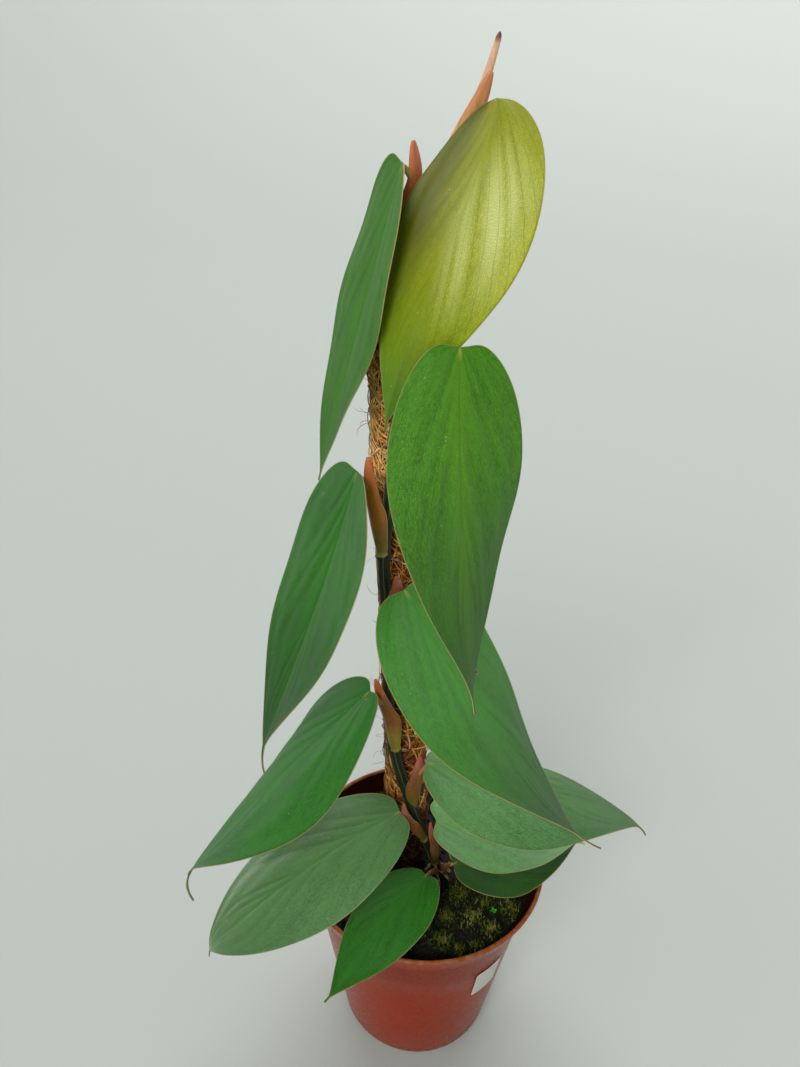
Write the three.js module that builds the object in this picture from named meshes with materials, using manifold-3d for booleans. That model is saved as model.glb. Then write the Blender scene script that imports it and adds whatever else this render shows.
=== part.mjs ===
// A climbing philodendron on a coir pole, in a small plastic nursery pot.
// Millimetres, +Z up. The origin is the centre of the pot's base and the plant's front faces -Y.

import * as THREE from "three";
import { mergeVertices } from "three/addons/utils/BufferGeometryUtils.js";
import Module from "manifold-3d";

const wasm = await Module();
wasm.setup();

// Driving dimensions

const CLEAR = 0.3;

const POT = {
  height: 105,
  rimRadius: 60,
  baseRadius: 39,
  shoulderRadius: 54,
  collarFootRadius: 56,
  collarHeight: 12,
  lip: 2,
  edgeRound: 0.5,
  footRound: 1.5,
  wall: 1.3,
  floor: 1.6,
  sides: 36,
  drainHoles: 6,
  drainRadius: 3.5,
  drainRing: 28,
};

const SOIL = { level: 95, swell: 1.1, sides: 30, rings: 5 };

const POLE = {
  axisAtRim: [-8.1, 4.3],
  leanDegrees: 3,
  footHeight: 6,
  topHeight: 384,
  coreRadius: 5,
  coreBevel: 1,
  coreSides: 14,
  coirFootHeight: 32,
  coirTopHeight: 382,
  coirRadius: 9.2,
  coirLump: 0.3,
  coirSides: 18,
  coirRings: 22,
};

const THREAD = { radius: 0.45, pitch: 17, aboveSoil: 5, belowTop: 6, stepsPerTurn: 13, sides: 3 };

const STEM = {
  radius: 2.4,
  footShare: 0.55,
  nodeSwell: 0.5,
  nodeReach: 4,
  fromPole: 13.9,
  steps: 30,
  sides: 8,
};

// Height of a point of the stem, and its angle round the pole in degrees (0 is +X, -90 the front).
const STEM_COURSE = [
  [121, -48],
  [141, -70],
  [173, -101],
  [200, -113],
  [240, -116],
  [275, -112],
  [300, -100],
  [330, -85],
  [365, -70],
  [402, -57],
];
const STEM_FOOT = [
  [10, 0, 62],
  [8.5, -3, 90],
  [5.5, -5.5, 107],
];
const STEM_NODES = [110, 123, 146, 181, 240, 279, 328, 392];

const AERIAL_ROOT = { radius: 1, belowNode: 4, gap: 0.45 };
const CROWN = { centre: [8, -4], roots: 6, reach: 11, rise: 4.5, depth: 9, radius: 1.1 };

// tailWidth is the narrow tip's, settle how early the blade takes its final slope, and the
// reaches are shares of the blade's length.
const BLADE = {
  thickness: 0.8,
  rows: 16,
  columns: 8,
  shoulder: 0.5,
  taper: 1.25,
  fullness: 1.5,
  lobe: 0.03,
  lobeReach: 0.22,
  notchReach: 0.012,
  tailWidth: 2.2,
  settle: 1.5,
  ribs: 3,
  ribHeight: 0.25,
  waves: 15,
  waveHeight: 0.7,
};

// depth is the stalk's thickness at its foot and at its free end, on the side away from the pole.
const PETIOLE = {
  depth: [2.1, 1.2],
  innerShare: 0.45,
  pointFrom: 0.55,
  steps: 7,
  sides: 7,
  neckRadius: 0.9,
  neckGap: 0.9,
};

const TIP = { radius: 1.9, taper: 0.55, steps: 7, sides: 8 };
const TIP_ROUTE = [
  [-2.5, -0.5, 424],
  [3.2, -2, 438],
  [5.8, -3.5, 446],
  [7.9, -5, 454.5],
];

const LABEL = { width: 17, height: 20, thickness: 0.6, angle: -46, top: 72.5, columns: 5 };

// Each leaf, from the pot upwards.
// base is where blade and petiole meet. heading, pitch and roll are degrees at the blade's base and
// at its tip: the way that the midrib runs seen from above, its slope, and the turn about itself.
// drip is the narrow tip's length with the turn of its heading and of its pitch.
// petiole lists the points that the leaf stalk runs through, from the stem to its free end.
const LEAVES = [
  {
    base: [2.5, -23.5, 116.5],
    length: 70,
    width: 31,
    heading: [235, 227],
    pitch: [2, -35],
    roll: [5, -17],
    fold: 7,
    arch: 0.16,
    drip: [3, -9, 3],
    petioleWidth: 4.4,
    petiole: [[6.5, -6, 100], [5.5, -12, 106], [4, -18, 112.5], [3.5, -20, 115]],
  },
  {
    base: [15, -11.5, 111],
    length: 76,
    width: 43,
    heading: [18, 26],
    pitch: [6, -11],
    roll: [8, 4],
    fold: 8,
    arch: 0.19,
    drip: [7, 0, 0],
    petioleWidth: 4.4,
    petiole: [[9, -3.5, 99], [11, -7.5, 104], [12.6, -10, 109], [12.8, -11, 111.5]],
  },
  {
    base: [5.5, -11.5, 138.5],
    length: 84,
    width: 43,
    heading: [9, 22],
    pitch: [-11, -27],
    roll: [6, 2],
    fold: 6,
    arch: 0.2,
    lobe: 0.06,
    drip: [6, -1, -1],
    petioleWidth: 5,
    petiole: [[5.5, -7, 106], [6, -10.5, 118], [3.5, -13, 132], [2.6, -13, 139.5]],
  },
  {
    base: [-11.5, -16.5, 148.5],
    length: 110,
    width: 48,
    heading: [217, 198],
    pitch: [-1, -45],
    roll: [-14, -23],
    fold: 5,
    arch: 0.29,
    drip: [4, -1, -45],
    petioleWidth: 5,
    petiole: [[0.2, -8, 123], [-5, -13, 136], [-9.3, -15.5, 147.5], [-10, -15.5, 153]],
  },
  {
    base: [-0.5, -14, 177],
    length: 106,
    width: 51,
    heading: [-5, 2],
    pitch: [-6, -20],
    roll: [-7, 11],
    fold: 0,
    arch: 0.37,
    drip: [6, -9, -44],
    petioleWidth: 7.2,
    petiole: [[-6.2, -9, 146], [-5.6, -12, 160], [-4.4, -13, 173], [-3.8, -13, 179.5]],
  },
  {
    base: [-25.5, -21, 221],
    length: 144,
    width: 58,
    heading: [202, 183],
    pitch: [-41, -56],
    roll: [-11, 26],
    fold: 12,
    arch: 0.47,
    lobe: 0.04,
    shoulder: 0.7,
    drip: [17, -9, -60],
    petioleWidth: 7.6,
    petiole: [[-15, -10, 180.5], [-17.3, -13, 200], [-21.8, -17, 217], [-23.6, -18, 225]],
  },
  {
    base: [-13.5, -16, 268],
    length: 138,
    width: 59,
    heading: [-31, -6],
    pitch: [-51, -49],
    roll: [16, -11],
    fold: 3,
    arch: 0.14,
    drip: [13, 5, 27],
    petioleWidth: 7.4,
    petiole: [[-21, -9, 240], [-20.3, -13, 256], [-18.2, -14.5, 267.5], [-18.6, -14.2, 273]],
  },
  {
    base: [-32, -15, 316.5],
    length: 139,
    width: 48,
    heading: [202, 215],
    pitch: [-76, -66],
    roll: [-13, -12],
    fold: 17,
    arch: 0.18,
    drip: [15, 6, -35],
    petioleWidth: 7.4,
    petiole: [[-22.6, -9.5, 279.5], [-25.3, -12.5, 299], [-27.8, -14, 314.5], [-28.3, -14, 322]],
  },
  {
    base: [2, -36.5, 369.5],
    length: 127,
    width: 44,
    heading: [-86, -26],
    pitch: [-71, -82],
    roll: [4, -10],
    fold: 1,
    arch: 0.19,
    drip: [5, 2, 6],
    petioleWidth: 6.4,
    petiole: [[-18, -10, 328], [-10, -16.5, 344], [-2, -28, 362], [0.3, -32.5, 372.5]],
  },
  {
    base: [-19, -9.5, 418.5],
    length: 118,
    width: 51,
    heading: [154, 167],
    pitch: [-73, -75],
    roll: [-43, -38],
    fold: 15,
    arch: 0.2,
    drip: [3, 0, -1],
    petioleWidth: 7.4,
    petiole: [[-17.5, -5.5, 392], [-18.5, -4, 403], [-15.5, -5, 414], [-16.3, -6, 425]],
  },
  {
    base: [7.5, -10.5, 437],
    length: 109,
    width: 39,
    heading: [-96, -227],
    pitch: [-53, -76],
    roll: [17, -113],
    fold: -13,
    arch: 0.05,
    lobe: 0.01,
    shoulder: 0.46,
    drip: [4, 0, -3],
    petioleWidth: 8,
    petiole: [[-15, -7, 400], [-8, -4, 413], [-1, -3, 427], [3.6, -4.5, 437], [6.4, -5, 443]],
  },
];

// Colours and finishes

const finish = (color, roughness) => new THREE.MeshStandardMaterial({ color, roughness });
const TERRACOTTA_PLASTIC = finish("#a5452a", 0.35);
const PEAT = finish("#2b2118", 0.95);
const BAMBOO = finish("#b8935a", 0.7);
const COIR = finish("#8a5a2b", 0.95);
const BROWN_THREAD = finish("#6b3f1d", 0.8);
const STEM_GREEN = finish("#26331c", 0.55);
const PETIOLE_RED = finish("#9a4f2c", 0.5);
const LEAF_GREEN = finish("#3c6e35", 0.5);
const NEW_LEAF_GREEN = finish("#a3a928", 0.4);
const SHEATH_PINK = finish("#d9976e", 0.5);
const LABEL_WHITE = finish("#e9ebec", 0.5);

// Geometry helpers

const vec = (x, y, z) => new THREE.Vector3(x, y, z);
const mix = THREE.MathUtils.lerp;
const radians = THREE.MathUtils.degToRad;
const curveThrough = (points) => new THREE.CatmullRomCurve3(points.map((p) => vec(...p)));

// A closed surface from its vertices and triangles, turned to face outwards.
function closedSurface(vertices, triangles) {
  let sixVolumes = 0;
  for (const [a, b, c] of triangles) {
    sixVolumes += vertices[a].dot(vertices[b].clone().cross(vertices[c]));
  }
  const facing = sixVolumes < 0 ? triangles.map(([a, b, c]) => [a, c, b]) : triangles;
  const geometry = new THREE.BufferGeometry().setFromPoints(vertices);
  return geometry.setIndex(facing.flat());
}

// A closed skin over rings of equal point counts, with a fan over each end.
function loft(rings) {
  const count = rings[0].length;
  const vertices = rings.flat();
  const triangles = [];
  for (let i = 0; i + 1 < rings.length; i++) {
    for (let j = 0; j < count; j++) {
      const a = i * count + j;
      const b = i * count + ((j + 1) % count);
      triangles.push([a, b, b + count], [a, b + count, a + count]);
    }
  }
  for (const [end, turned] of [[0, true], [rings.length - 1, false]]) {
    const centre = vertices.length;
    const middle = vec(0, 0, 0);
    rings[end].forEach((p) => middle.addScaledVector(p, 1 / count));
    vertices.push(middle);
    for (let j = 0; j < count; j++) {
      const a = end * count + j;
      const b = end * count + ((j + 1) % count);
      triangles.push(turned ? [centre, b, a] : [centre, a, b]);
    }
  }
  return closedSurface(vertices, triangles);
}

// A tapering round rod along a curve: radiusAt takes the share of the way, 0 to 1.
function rod(curve, radiusAt, steps, sides) {
  const frames = curve.computeFrenetFrames(steps);
  const rings = [];
  for (let i = 0; i <= steps; i++) {
    const centre = curve.getPointAt(i / steps);
    const radius = radiusAt(i / steps);
    rings.push(
      Array.from({ length: sides }, (_, j) => {
        const turn = (2 * Math.PI * j) / sides;
        return centre
          .clone()
          .addScaledVector(frames.normals[i], radius * Math.cos(turn))
          .addScaledVector(frames.binormals[i], radius * Math.sin(turn));
      }),
    );
  }
  return loft(rings);
}

// A turned solid standing on +Z from its profile of [radius, height] points.
function turned(profile, sides) {
  const points = profile.map(([r, z]) => new THREE.Vector2(r, z));
  return new THREE.LatheGeometry(points, sides).rotateX(Math.PI / 2);
}

function solid(geometry) {
  const bare = geometry.clone();
  bare.deleteAttribute("normal");
  bare.deleteAttribute("uv");
  const merged = mergeVertices(bare, 1e-3);
  const mesh = new wasm.Mesh({
    numProp: 3,
    vertProperties: merged.attributes.position.array,
    triVerts: new Uint32Array(merged.index.array),
  });
  return new wasm.Manifold(mesh);
}

function geometryOf(body) {
  const mesh = body.getMesh();
  const geometry = new THREE.BufferGeometry();
  geometry.setAttribute("position", new THREE.BufferAttribute(mesh.vertProperties, 3));
  geometry.setIndex(new THREE.BufferAttribute(mesh.triVerts, 1));
  return geometry;
}

const joined = (solids) => solids.reduce((a, b) => a.add(b));

function piece(name, geometry, material) {
  const mesh = new THREE.Mesh(geometry, material);
  mesh.name = name;
  return mesh;
}

// Pot: one moulded cup with a tapering body, a collar band and a rolled lip

const SHOULDER = POT.height - POT.collarHeight;
const wallRadiusAt = (height) => mix(POT.baseRadius, POT.shoulderRadius, height / SHOULDER);
const innerRadiusAt = (height) => wallRadiusAt(height) - POT.wall;

function potGeometry() {
  const { rimRadius, height, lip, edgeRound, footRound, floor, wall } = POT;
  const profile = [
    [0, 0],
    [POT.baseRadius - footRound, 0],
    [POT.baseRadius, footRound],
    [POT.shoulderRadius, SHOULDER - edgeRound],
    [POT.collarFootRadius, SHOULDER],
    [rimRadius - lip / 2, height - lip],
    [rimRadius, height - lip + edgeRound],
    [rimRadius, height - edgeRound],
    [rimRadius - edgeRound, height],
    [rimRadius - lip, height],
    [rimRadius - lip - edgeRound, height - edgeRound],
    [POT.collarFootRadius - wall, SHOULDER + wall],
    [POT.shoulderRadius - wall, SHOULDER],
    [innerRadiusAt(floor + footRound), floor + footRound],
    [innerRadiusAt(floor) - footRound, floor],
    [0, floor],
  ];
  const holes = Array.from({ length: POT.drainHoles }, (_, i) => {
    const turn = (2 * Math.PI * (i + 0.5)) / POT.drainHoles;
    const hole = new THREE.CylinderGeometry(POT.drainRadius, POT.drainRadius, 3 * POT.floor, 12);
    hole.rotateX(Math.PI / 2);
    hole.translate(POT.drainRing * Math.cos(turn), POT.drainRing * Math.sin(turn), POT.floor / 2);
    return solid(hole);
  });
  return geometryOf(solid(turned(profile, POT.sides)).subtract(joined(holes)));
}

// Pole: a stiff core in a coir sleeve, bound with one long turn of thread, all leaning alike

const poleX = (height) =>
  POLE.axisAtRim[0] - Math.tan(radians(POLE.leanDegrees)) * (height - POT.height);
const poleCentre = (height) => vec(poleX(height), POLE.axisAtRim[1], height);

// Turns what is modelled round the Z axis, with its heights along it, to the pole's own line.
const alongPole = (geometry) =>
  geometry.applyMatrix4(
    new THREE.Matrix4().makeShear(0, 0, 0, 0, -Math.tan(radians(POLE.leanDegrees)), 0),
  ).translate(poleX(0), POLE.axisAtRim[1], 0);

function coreGeometry() {
  const { coreRadius, coreBevel, footHeight, topHeight } = POLE;
  const profile = [
    [0, footHeight],
    [coreRadius, footHeight + coreBevel],
    [coreRadius, topHeight - coreBevel],
    [0, topHeight],
  ];
  return alongPole(turned(profile, POLE.coreSides));
}

// Two waves that cross on the sleeve's outer wall press shallow lumps into it.
function coirGeometry() {
  const { coirRadius, coirFootHeight, coirTopHeight, coirRings, coirLump } = POLE;
  const inner = POLE.coreRadius + CLEAR;
  const profile = [[inner, coirFootHeight]];
  for (let i = 0; i <= coirRings; i++) {
    profile.push([coirRadius, mix(coirFootHeight, coirTopHeight, i / coirRings)]);
  }
  profile.push([inner, coirTopHeight], profile[0]);
  const sleeve = turned(profile, POLE.coirSides);
  const position = sleeve.attributes.position;
  for (let i = 0; i < position.count; i++) {
    const x = position.getX(i);
    const y = position.getY(i);
    const z = position.getZ(i);
    const isOuter = Math.hypot(x, y) > (inner + coirRadius) / 2;
    if (!isOuter) continue;
    const turn = Math.atan2(y, x);
    const wave = Math.sin(3 * turn + z / 9) * Math.sin(5 * turn - z / 6);
    const share = 1 - (coirLump * (1 - wave)) / coirRadius;
    position.setXYZ(i, x * share, y * share, z);
  }
  return alongPole(sleeve);
}

class Helix extends THREE.Curve {
  constructor(radius, pitch, from, turns) {
    super();
    Object.assign(this, { radius, pitch, from, turns });
  }
  getPoint(share, target = new THREE.Vector3()) {
    const turn = 2 * Math.PI * this.turns * share;
    const height = this.from + this.pitch * this.turns * share;
    return target.set(this.radius * Math.cos(turn), this.radius * Math.sin(turn), height);
  }
}

const THREAD_FROM = SOIL.level + THREAD.aboveSoil;
const THREAD_TURNS = (POLE.topHeight - THREAD.belowTop - THREAD_FROM) / THREAD.pitch;

// Chords of the faceted helix come nearer to the pole than its corners do.
const THREAD_RADIUS =
  (POLE.coirRadius + CLEAR + THREAD.radius) / Math.cos(Math.PI / THREAD.stepsPerTurn);

function threadGeometry() {
  const helix = new Helix(THREAD_RADIUS, THREAD.pitch, THREAD_FROM, THREAD_TURNS);
  const steps = Math.round(THREAD_TURNS * THREAD.stepsPerTurn);
  return alongPole(rod(helix, () => THREAD.radius, steps, THREAD.sides));
}

// Stem: it winds up the pole's front, and aerial roots and the crown's roots are part of it

const stemPoint = (height, angle) =>
  poleCentre(height).add(
    vec(Math.cos(radians(angle)), Math.sin(radians(angle)), 0).multiplyScalar(STEM.fromPole),
  );
const STEM_CURVE = new THREE.CatmullRomCurve3([
  ...STEM_FOOT.map((p) => vec(...p)),
  ...STEM_COURSE.map(([height, angle]) => stemPoint(height, angle)),
]);

// The stem with its roots, grown fatter all over by a margin.
function stemSolid(margin) {
  const bodies = [solid(rod(STEM_CURVE, (share) => stemRadiusAt(share) + margin, STEM.steps, STEM.sides))];
  for (let i = 0; i < CROWN.roots; i++) {
    bodies.push(solid(rod(crownRootRoute(i), (share) => CROWN.radius * (1 - share / 2) + margin, 5, 6)));
  }
  for (const height of STEM_NODES.slice(2)) {
    const middle = rootHeightNear(height - AERIAL_ROOT.belowNode);
    const from = pointOnStem(middle);
    const inward = poleCentre(middle).sub(from).setZ(0).normalize();
    const reach = STEM.fromPole - POLE.coirRadius - AERIAL_ROOT.gap;
    const to = from.clone().addScaledVector(inward, reach);
    bodies.push(solid(rod(new THREE.LineCurve3(from, to), () => AERIAL_ROOT.radius + margin, 1, 6)));
  }
  return joined(bodies);
}

// The stem thins below the soil, swells at its nodes and closes at its top.
function stemRadiusAt(share) {
  const height = STEM_CURVE.getPointAt(share).z;
  const foot = STEM_FOOT[0][2];
  const top = STEM_COURSE.at(-1)[0];
  const swells = STEM_NODES.map((node) => Math.exp(-(((height - node) / STEM.nodeReach) ** 2)));
  const rooted = Math.min(1, (height - foot) / (SOIL.level - foot));
  const closing = Math.min(1, 0.4 + (top - height) / 6);
  return STEM.radius * mix(STEM.footShare, 1, rooted) * closing + STEM.nodeSwell * Math.max(...swells);
}

// Each crown root bows over the soil and dives into it.
function crownRootRoute(index) {
  const turn = 0.7 + (2 * Math.PI * index) / CROWN.roots;
  const reach = CROWN.reach * (0.8 + 0.2 * Math.cos(5 * index));
  const [x, y] = CROWN.centre;
  const out = (share, height) =>
    [x + share * reach * Math.cos(turn), y + share * reach * Math.sin(turn), SOIL.level + height];
  return curveThrough([out(0, CROWN.rise), out(0.45, CROWN.rise), out(0.85, 0), out(1, -CROWN.depth)]);
}

function pointOnStem(height) {
  let low = 0;
  let high = 1;
  for (let i = 0; i < 30; i++) {
    const middle = (low + high) / 2;
    if (STEM_CURVE.getPoint(middle).z < height) low = middle;
    else high = middle;
  }
  return STEM_CURVE.getPoint(low);
}

// Aerial roots take hold midway between two turns of the thread.
function rootHeightNear(height) {
  const from = pointOnStem(height).sub(poleCentre(height));
  const turn = Math.atan2(from.y, from.x) / (2 * Math.PI);
  const turns = (height - THREAD_FROM) / THREAD.pitch - turn - 0.5;
  return THREAD_FROM + THREAD.pitch * (Math.round(turns) + turn + 0.5);
}

// Blades: a midrib course, and across it a folded, arched and gently waved surface

function midribOf(leaf) {
  const steps = 60;
  const [drip, dripHeading, dripPitch] = leaf.drip;
  const dripStart = 1 - drip / leaf.length - 0.06;
  const stations = [];
  const at = vec(...leaf.base);
  for (let i = 0; i <= steps; i++) {
    const share = i / steps;
    const settled = 1 - (1 - share) ** BLADE.settle;
    const inDrip = Math.max(0, (share - dripStart) / (1 - dripStart)) ** 1.3;
    const heading = radians(mix(...leaf.heading, share) + dripHeading * inDrip);
    const pitch = radians(mix(...leaf.pitch, settled) + dripPitch * inDrip);
    const roll = radians(mix(...leaf.roll, share));
    const along = vec(
      Math.cos(pitch) * Math.cos(heading),
      Math.cos(pitch) * Math.sin(heading),
      Math.sin(pitch),
    );
    const level = vec(-Math.sin(heading), Math.cos(heading), 0);
    const raised = along.clone().cross(level);
    const across = level.multiplyScalar(Math.cos(roll)).addScaledVector(raised, Math.sin(roll));
    const up = along.clone().cross(across);
    if (i > 0) {
      const before = stations[i - 1];
      const mean = before.along.clone().add(along).multiplyScalar(0.5);
      at.addScaledVector(mean, leaf.length / steps);
    }
    stations.push({ at: at.clone(), along, across, up });
  }
  return stations;
}

function onMidrib(stations, share) {
  const place = THREE.MathUtils.clamp(share, 0, 1) * (stations.length - 1);
  const i = Math.min(Math.floor(place), stations.length - 2);
  const found = {};
  for (const key of ["at", "along", "across", "up"]) {
    found[key] = stations[i][key].clone().lerp(stations[i + 1][key], place - i);
  }
  return found;
}

function halfWidthAt(leaf, share) {
  const { taper, fullness } = BLADE;
  const shoulder = leaf.shoulder ?? BLADE.shoulder;
  const whole = shoulder + taper * fullness;
  const widest = (shoulder / whole) ** (shoulder / fullness) * ((taper * fullness) / whole) ** taper;
  const part = Math.min(1, share / (1 - leaf.drip[0] / leaf.length));
  const body = (part ** shoulder * (1 - part ** fullness) ** taper) / widest;
  const tail = Math.sqrt(1 - share ** 6) * (1 - Math.exp(-share / 0.05));
  return Math.max(0.5, (leaf.width / 2) * body + (BLADE.tailWidth / 2) * tail);
}

// A point of the blade's middle surface: share runs from base to tip, side from -1 to 1.
function bladePoint(leaf, stations, share, side, phase) {
  const edge = Math.abs(side);
  const lobe = leaf.lobe ?? BLADE.lobe;
  const notch = 1 - Math.exp(-share / BLADE.notchReach);
  const back = lobe * Math.exp(-((share / BLADE.lobeReach) ** 1.5)) * edge ** 1.2 * notch;
  const along = share - back;
  const station = onMidrib(stations, along);
  const half = halfWidthAt(leaf, share);
  const across = half * side;
  const fold = radians(leaf.fold);
  const breadth = half / (leaf.width / 2);
  const rib = BLADE.ribHeight * Math.cos(2 * Math.PI * BLADE.ribs * edge) * breadth * edge;
  const ripple = Math.sin(BLADE.waves * share + phase + 1.3 * side);
  const wave = BLADE.waveHeight * ripple * edge ** 2 * breadth;
  const bow = (leaf.arch * across ** 2) / (leaf.width / 2);
  const lift = Math.sin(fold) * Math.abs(across) - bow + rib + wave;
  const point = station.at.addScaledVector(station.along, Math.min(0, along) * leaf.length);
  point.addScaledVector(station.across, across * Math.cos(fold));
  return { point: point.addScaledVector(station.up, lift), up: station.up };
}

function bladeGeometry(leaf, index) {
  const stations = midribOf(leaf);
  const { rows, columns, thickness } = BLADE;
  const across = columns + 1;
  const vertices = [];
  for (const face of [1, -1]) {
    for (let i = 0; i <= rows; i++) {
      const even = i / rows;
      const share = even - (0.75 * Math.sin(2 * Math.PI * even)) / (2 * Math.PI);
      for (let j = 0; j <= columns; j++) {
        const { point, up } = bladePoint(leaf, stations, share, (2 * j) / columns - 1, index);
        vertices.push(point.addScaledVector(up, (face * thickness) / 2));
      }
    }
  }
  const under = (rows + 1) * across;
  const triangles = [];
  for (let i = 0; i < rows; i++) {
    for (let j = 0; j < columns; j++) {
      const a = i * across + j;
      const b = a + across;
      triangles.push([a, b + 1, b], [a, a + 1, b + 1]);
      triangles.push([under + a, under + b, under + b + 1], [under + a, under + b + 1, under + a + 1]);
    }
  }
  const closeAlong = (a, b) => triangles.push([a, b, under + b], [a, under + b, under + a]);
  for (let i = 0; i < rows; i++) {
    closeAlong(i * across, (i + 1) * across);
    closeAlong((i + 1) * across + columns, i * across + columns);
  }
  for (let j = 0; j < columns; j++) {
    closeAlong(j + 1, j);
    closeAlong(rows * across + j, rows * across + j + 1);
  }
  return closedSurface(vertices, triangles);
}

// Petioles: a winged stalk with a hollow inner face and a pointed free end, and a short neck to
// the blade. Its foot clasps the stem.

function petioleSolid(leaf) {
  const curve = curveThrough(leaf.petiole);
  const rings = [];
  for (let i = 0; i <= PETIOLE.steps; i++) {
    const share = i / PETIOLE.steps;
    const centre = curve.getPointAt(share);
    const along = curve.getTangentAt(share);
    const outward = centre.clone().sub(poleCentre(centre.z)).setZ(0).normalize();
    const across = along.clone().cross(outward).normalize();
    const face = across.clone().cross(along).normalize();
    const belly = Math.sin(Math.PI * Math.min(1, 0.25 + 0.55 * share)) ** 1.2;
    const inPoint = Math.max(0, (share - PETIOLE.pointFrom) / (1.02 - PETIOLE.pointFrom));
    const closing = Math.sqrt(1 - inPoint ** 4);
    const half = Math.max(0.5, (leaf.petioleWidth / 2) * belly * closing);
    const depth = mix(...PETIOLE.depth, share) * Math.max(0.35, closing);
    rings.push(
      Array.from({ length: PETIOLE.sides }, (_, j) => {
        const turn = (2 * Math.PI * j) / PETIOLE.sides;
        const rise = depth * Math.sin(turn) * (Math.sin(turn) > 0 ? 1 : PETIOLE.innerShare);
        return centre
          .clone()
          .addScaledVector(across, half * Math.cos(turn))
          .addScaledVector(face, rise);
      }),
    );
  }
  const blade = onMidrib(midribOf(leaf), 0);
  const beforeBlade = (gap) => blade.at.clone().addScaledVector(blade.along, -gap);
  const neckFrom = curve.getPointAt(0.8);
  const neckBend = beforeBlade(3 * PETIOLE.neckGap).lerp(neckFrom, 0.2);
  const neck = new THREE.CatmullRomCurve3([neckFrom, neckBend, beforeBlade(PETIOLE.neckGap)]);
  return solid(loft(rings)).add(solid(rod(neck, () => PETIOLE.neckRadius, 3, 5)));
}

// Growing tip: the rolled sheath of the next leaf, half held in the top petiole's channel

function tipGeometry(margin) {
  const radiusAt = (share) => {
    const closing = share === 1 ? 0.4 : 1;
    return TIP.radius * (1 - TIP.taper * share ** 1.5) * closing + margin;
  };
  return rod(curveThrough(TIP_ROUTE), radiusAt, TIP.steps, TIP.sides);
}

// Soil: it fills the pot to its level, with plain holes for the pole and the rooted stem

function soilGeometry(stemHole) {
  const foot = POT.floor + CLEAR;
  const bevelled = foot + POT.footRound;
  const rim = innerRadiusAt(SHOULDER) - CLEAR;
  const topRadius = rim + POT.collarFootRadius - POT.shoulderRadius;
  const profile = [
    [0, foot],
    [innerRadiusAt(foot) - POT.footRound - CLEAR, foot],
    [innerRadiusAt(bevelled) - CLEAR, bevelled],
    [rim, SHOULDER + CLEAR],
    [topRadius, SOIL.level],
  ];
  for (let i = 1; i <= SOIL.rings; i++) {
    profile.push([topRadius * (1 - i / SOIL.rings), SOIL.level]);
  }
  const body = turned(profile, SOIL.sides);
  const position = body.attributes.position;
  for (let i = 0; i < position.count; i++) {
    const x = position.getX(i);
    const y = position.getY(i);
    const isOnTop = position.getZ(i) > SOIL.level - 0.01 && Math.hypot(x, y) < topRadius - 1;
    if (!isOnTop) continue;
    const heap = Math.sin(x / 6.1 + 0.7) * Math.cos(y / 7.3) + Math.sin((x + y) / 11);
    position.setZ(i, SOIL.level + SOIL.swell * heap);
  }
  const open = SOIL.level + 20;
  const bore = (radius, from) =>
    solid(alongPole(turned([[0, from], [radius, from], [radius, open], [0, open]], POLE.coirSides)));
  return geometryOf(
    solid(body)
      .subtract(bore(POLE.coreRadius + CLEAR, POLE.footHeight - CLEAR))
      .subtract(bore(POLE.coirRadius + CLEAR, POLE.coirFootHeight - CLEAR))
      .subtract(stemHole),
  );
}

// Label: a blank stuck-on slip that follows the pot's wall below the collar

function labelGeometry() {
  const bottom = LABEL.top - LABEL.height;
  const rings = [];
  for (let i = 0; i <= LABEL.columns; i++) {
    const turn = (i / LABEL.columns - 0.5) * (LABEL.width / POT.shoulderRadius);
    const angle = radians(LABEL.angle) + turn;
    const corner = (height, out) => {
      const radius = wallRadiusAt(height) + CLEAR + out;
      return vec(radius * Math.cos(angle), radius * Math.sin(angle), height);
    };
    rings.push([
      corner(bottom, 0),
      corner(LABEL.top, 0),
      corner(LABEL.top, LABEL.thickness),
      corner(bottom, LABEL.thickness),
    ]);
  }
  return loft(rings);
}

// The whole plant in its pot

const plant = new THREE.Group();
plant.name = "potted_philodendron";
const fatStem = stemSolid(CLEAR);

plant.add(piece("pot", potGeometry(), TERRACOTTA_PLASTIC));
plant.add(piece("label", labelGeometry(), LABEL_WHITE));
plant.add(piece("soil", soilGeometry(fatStem), PEAT));
plant.add(piece("pole_core", coreGeometry(), BAMBOO));
plant.add(piece("coir_sleeve", coirGeometry(), COIR));
plant.add(piece("binding_thread", threadGeometry(), BROWN_THREAD));
plant.add(piece("stem", geometryOf(stemSolid(0)), STEM_GREEN));
plant.add(piece("growing_tip", tipGeometry(0), SHEATH_PINK));

LEAVES.forEach((leaf, index) => {
  const number = String(index + 1).padStart(2, "0");
  const isNewest = index === LEAVES.length - 1;
  let petiole = petioleSolid(leaf).subtract(fatStem);
  if (isNewest) petiole = petiole.subtract(solid(tipGeometry(CLEAR)));
  plant.add(piece(`petiole_${number}`, geometryOf(petiole), PETIOLE_RED));
  const green = isNewest ? NEW_LEAF_GREEN : LEAF_GREEN;
  plant.add(piece(`leaf_${number}`, bladeGeometry(leaf, index), green));
});

export default plant;
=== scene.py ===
import math
import random
from functools import partial

import bmesh
import bpy
from mathutils import Matrix, Vector, noise


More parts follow.
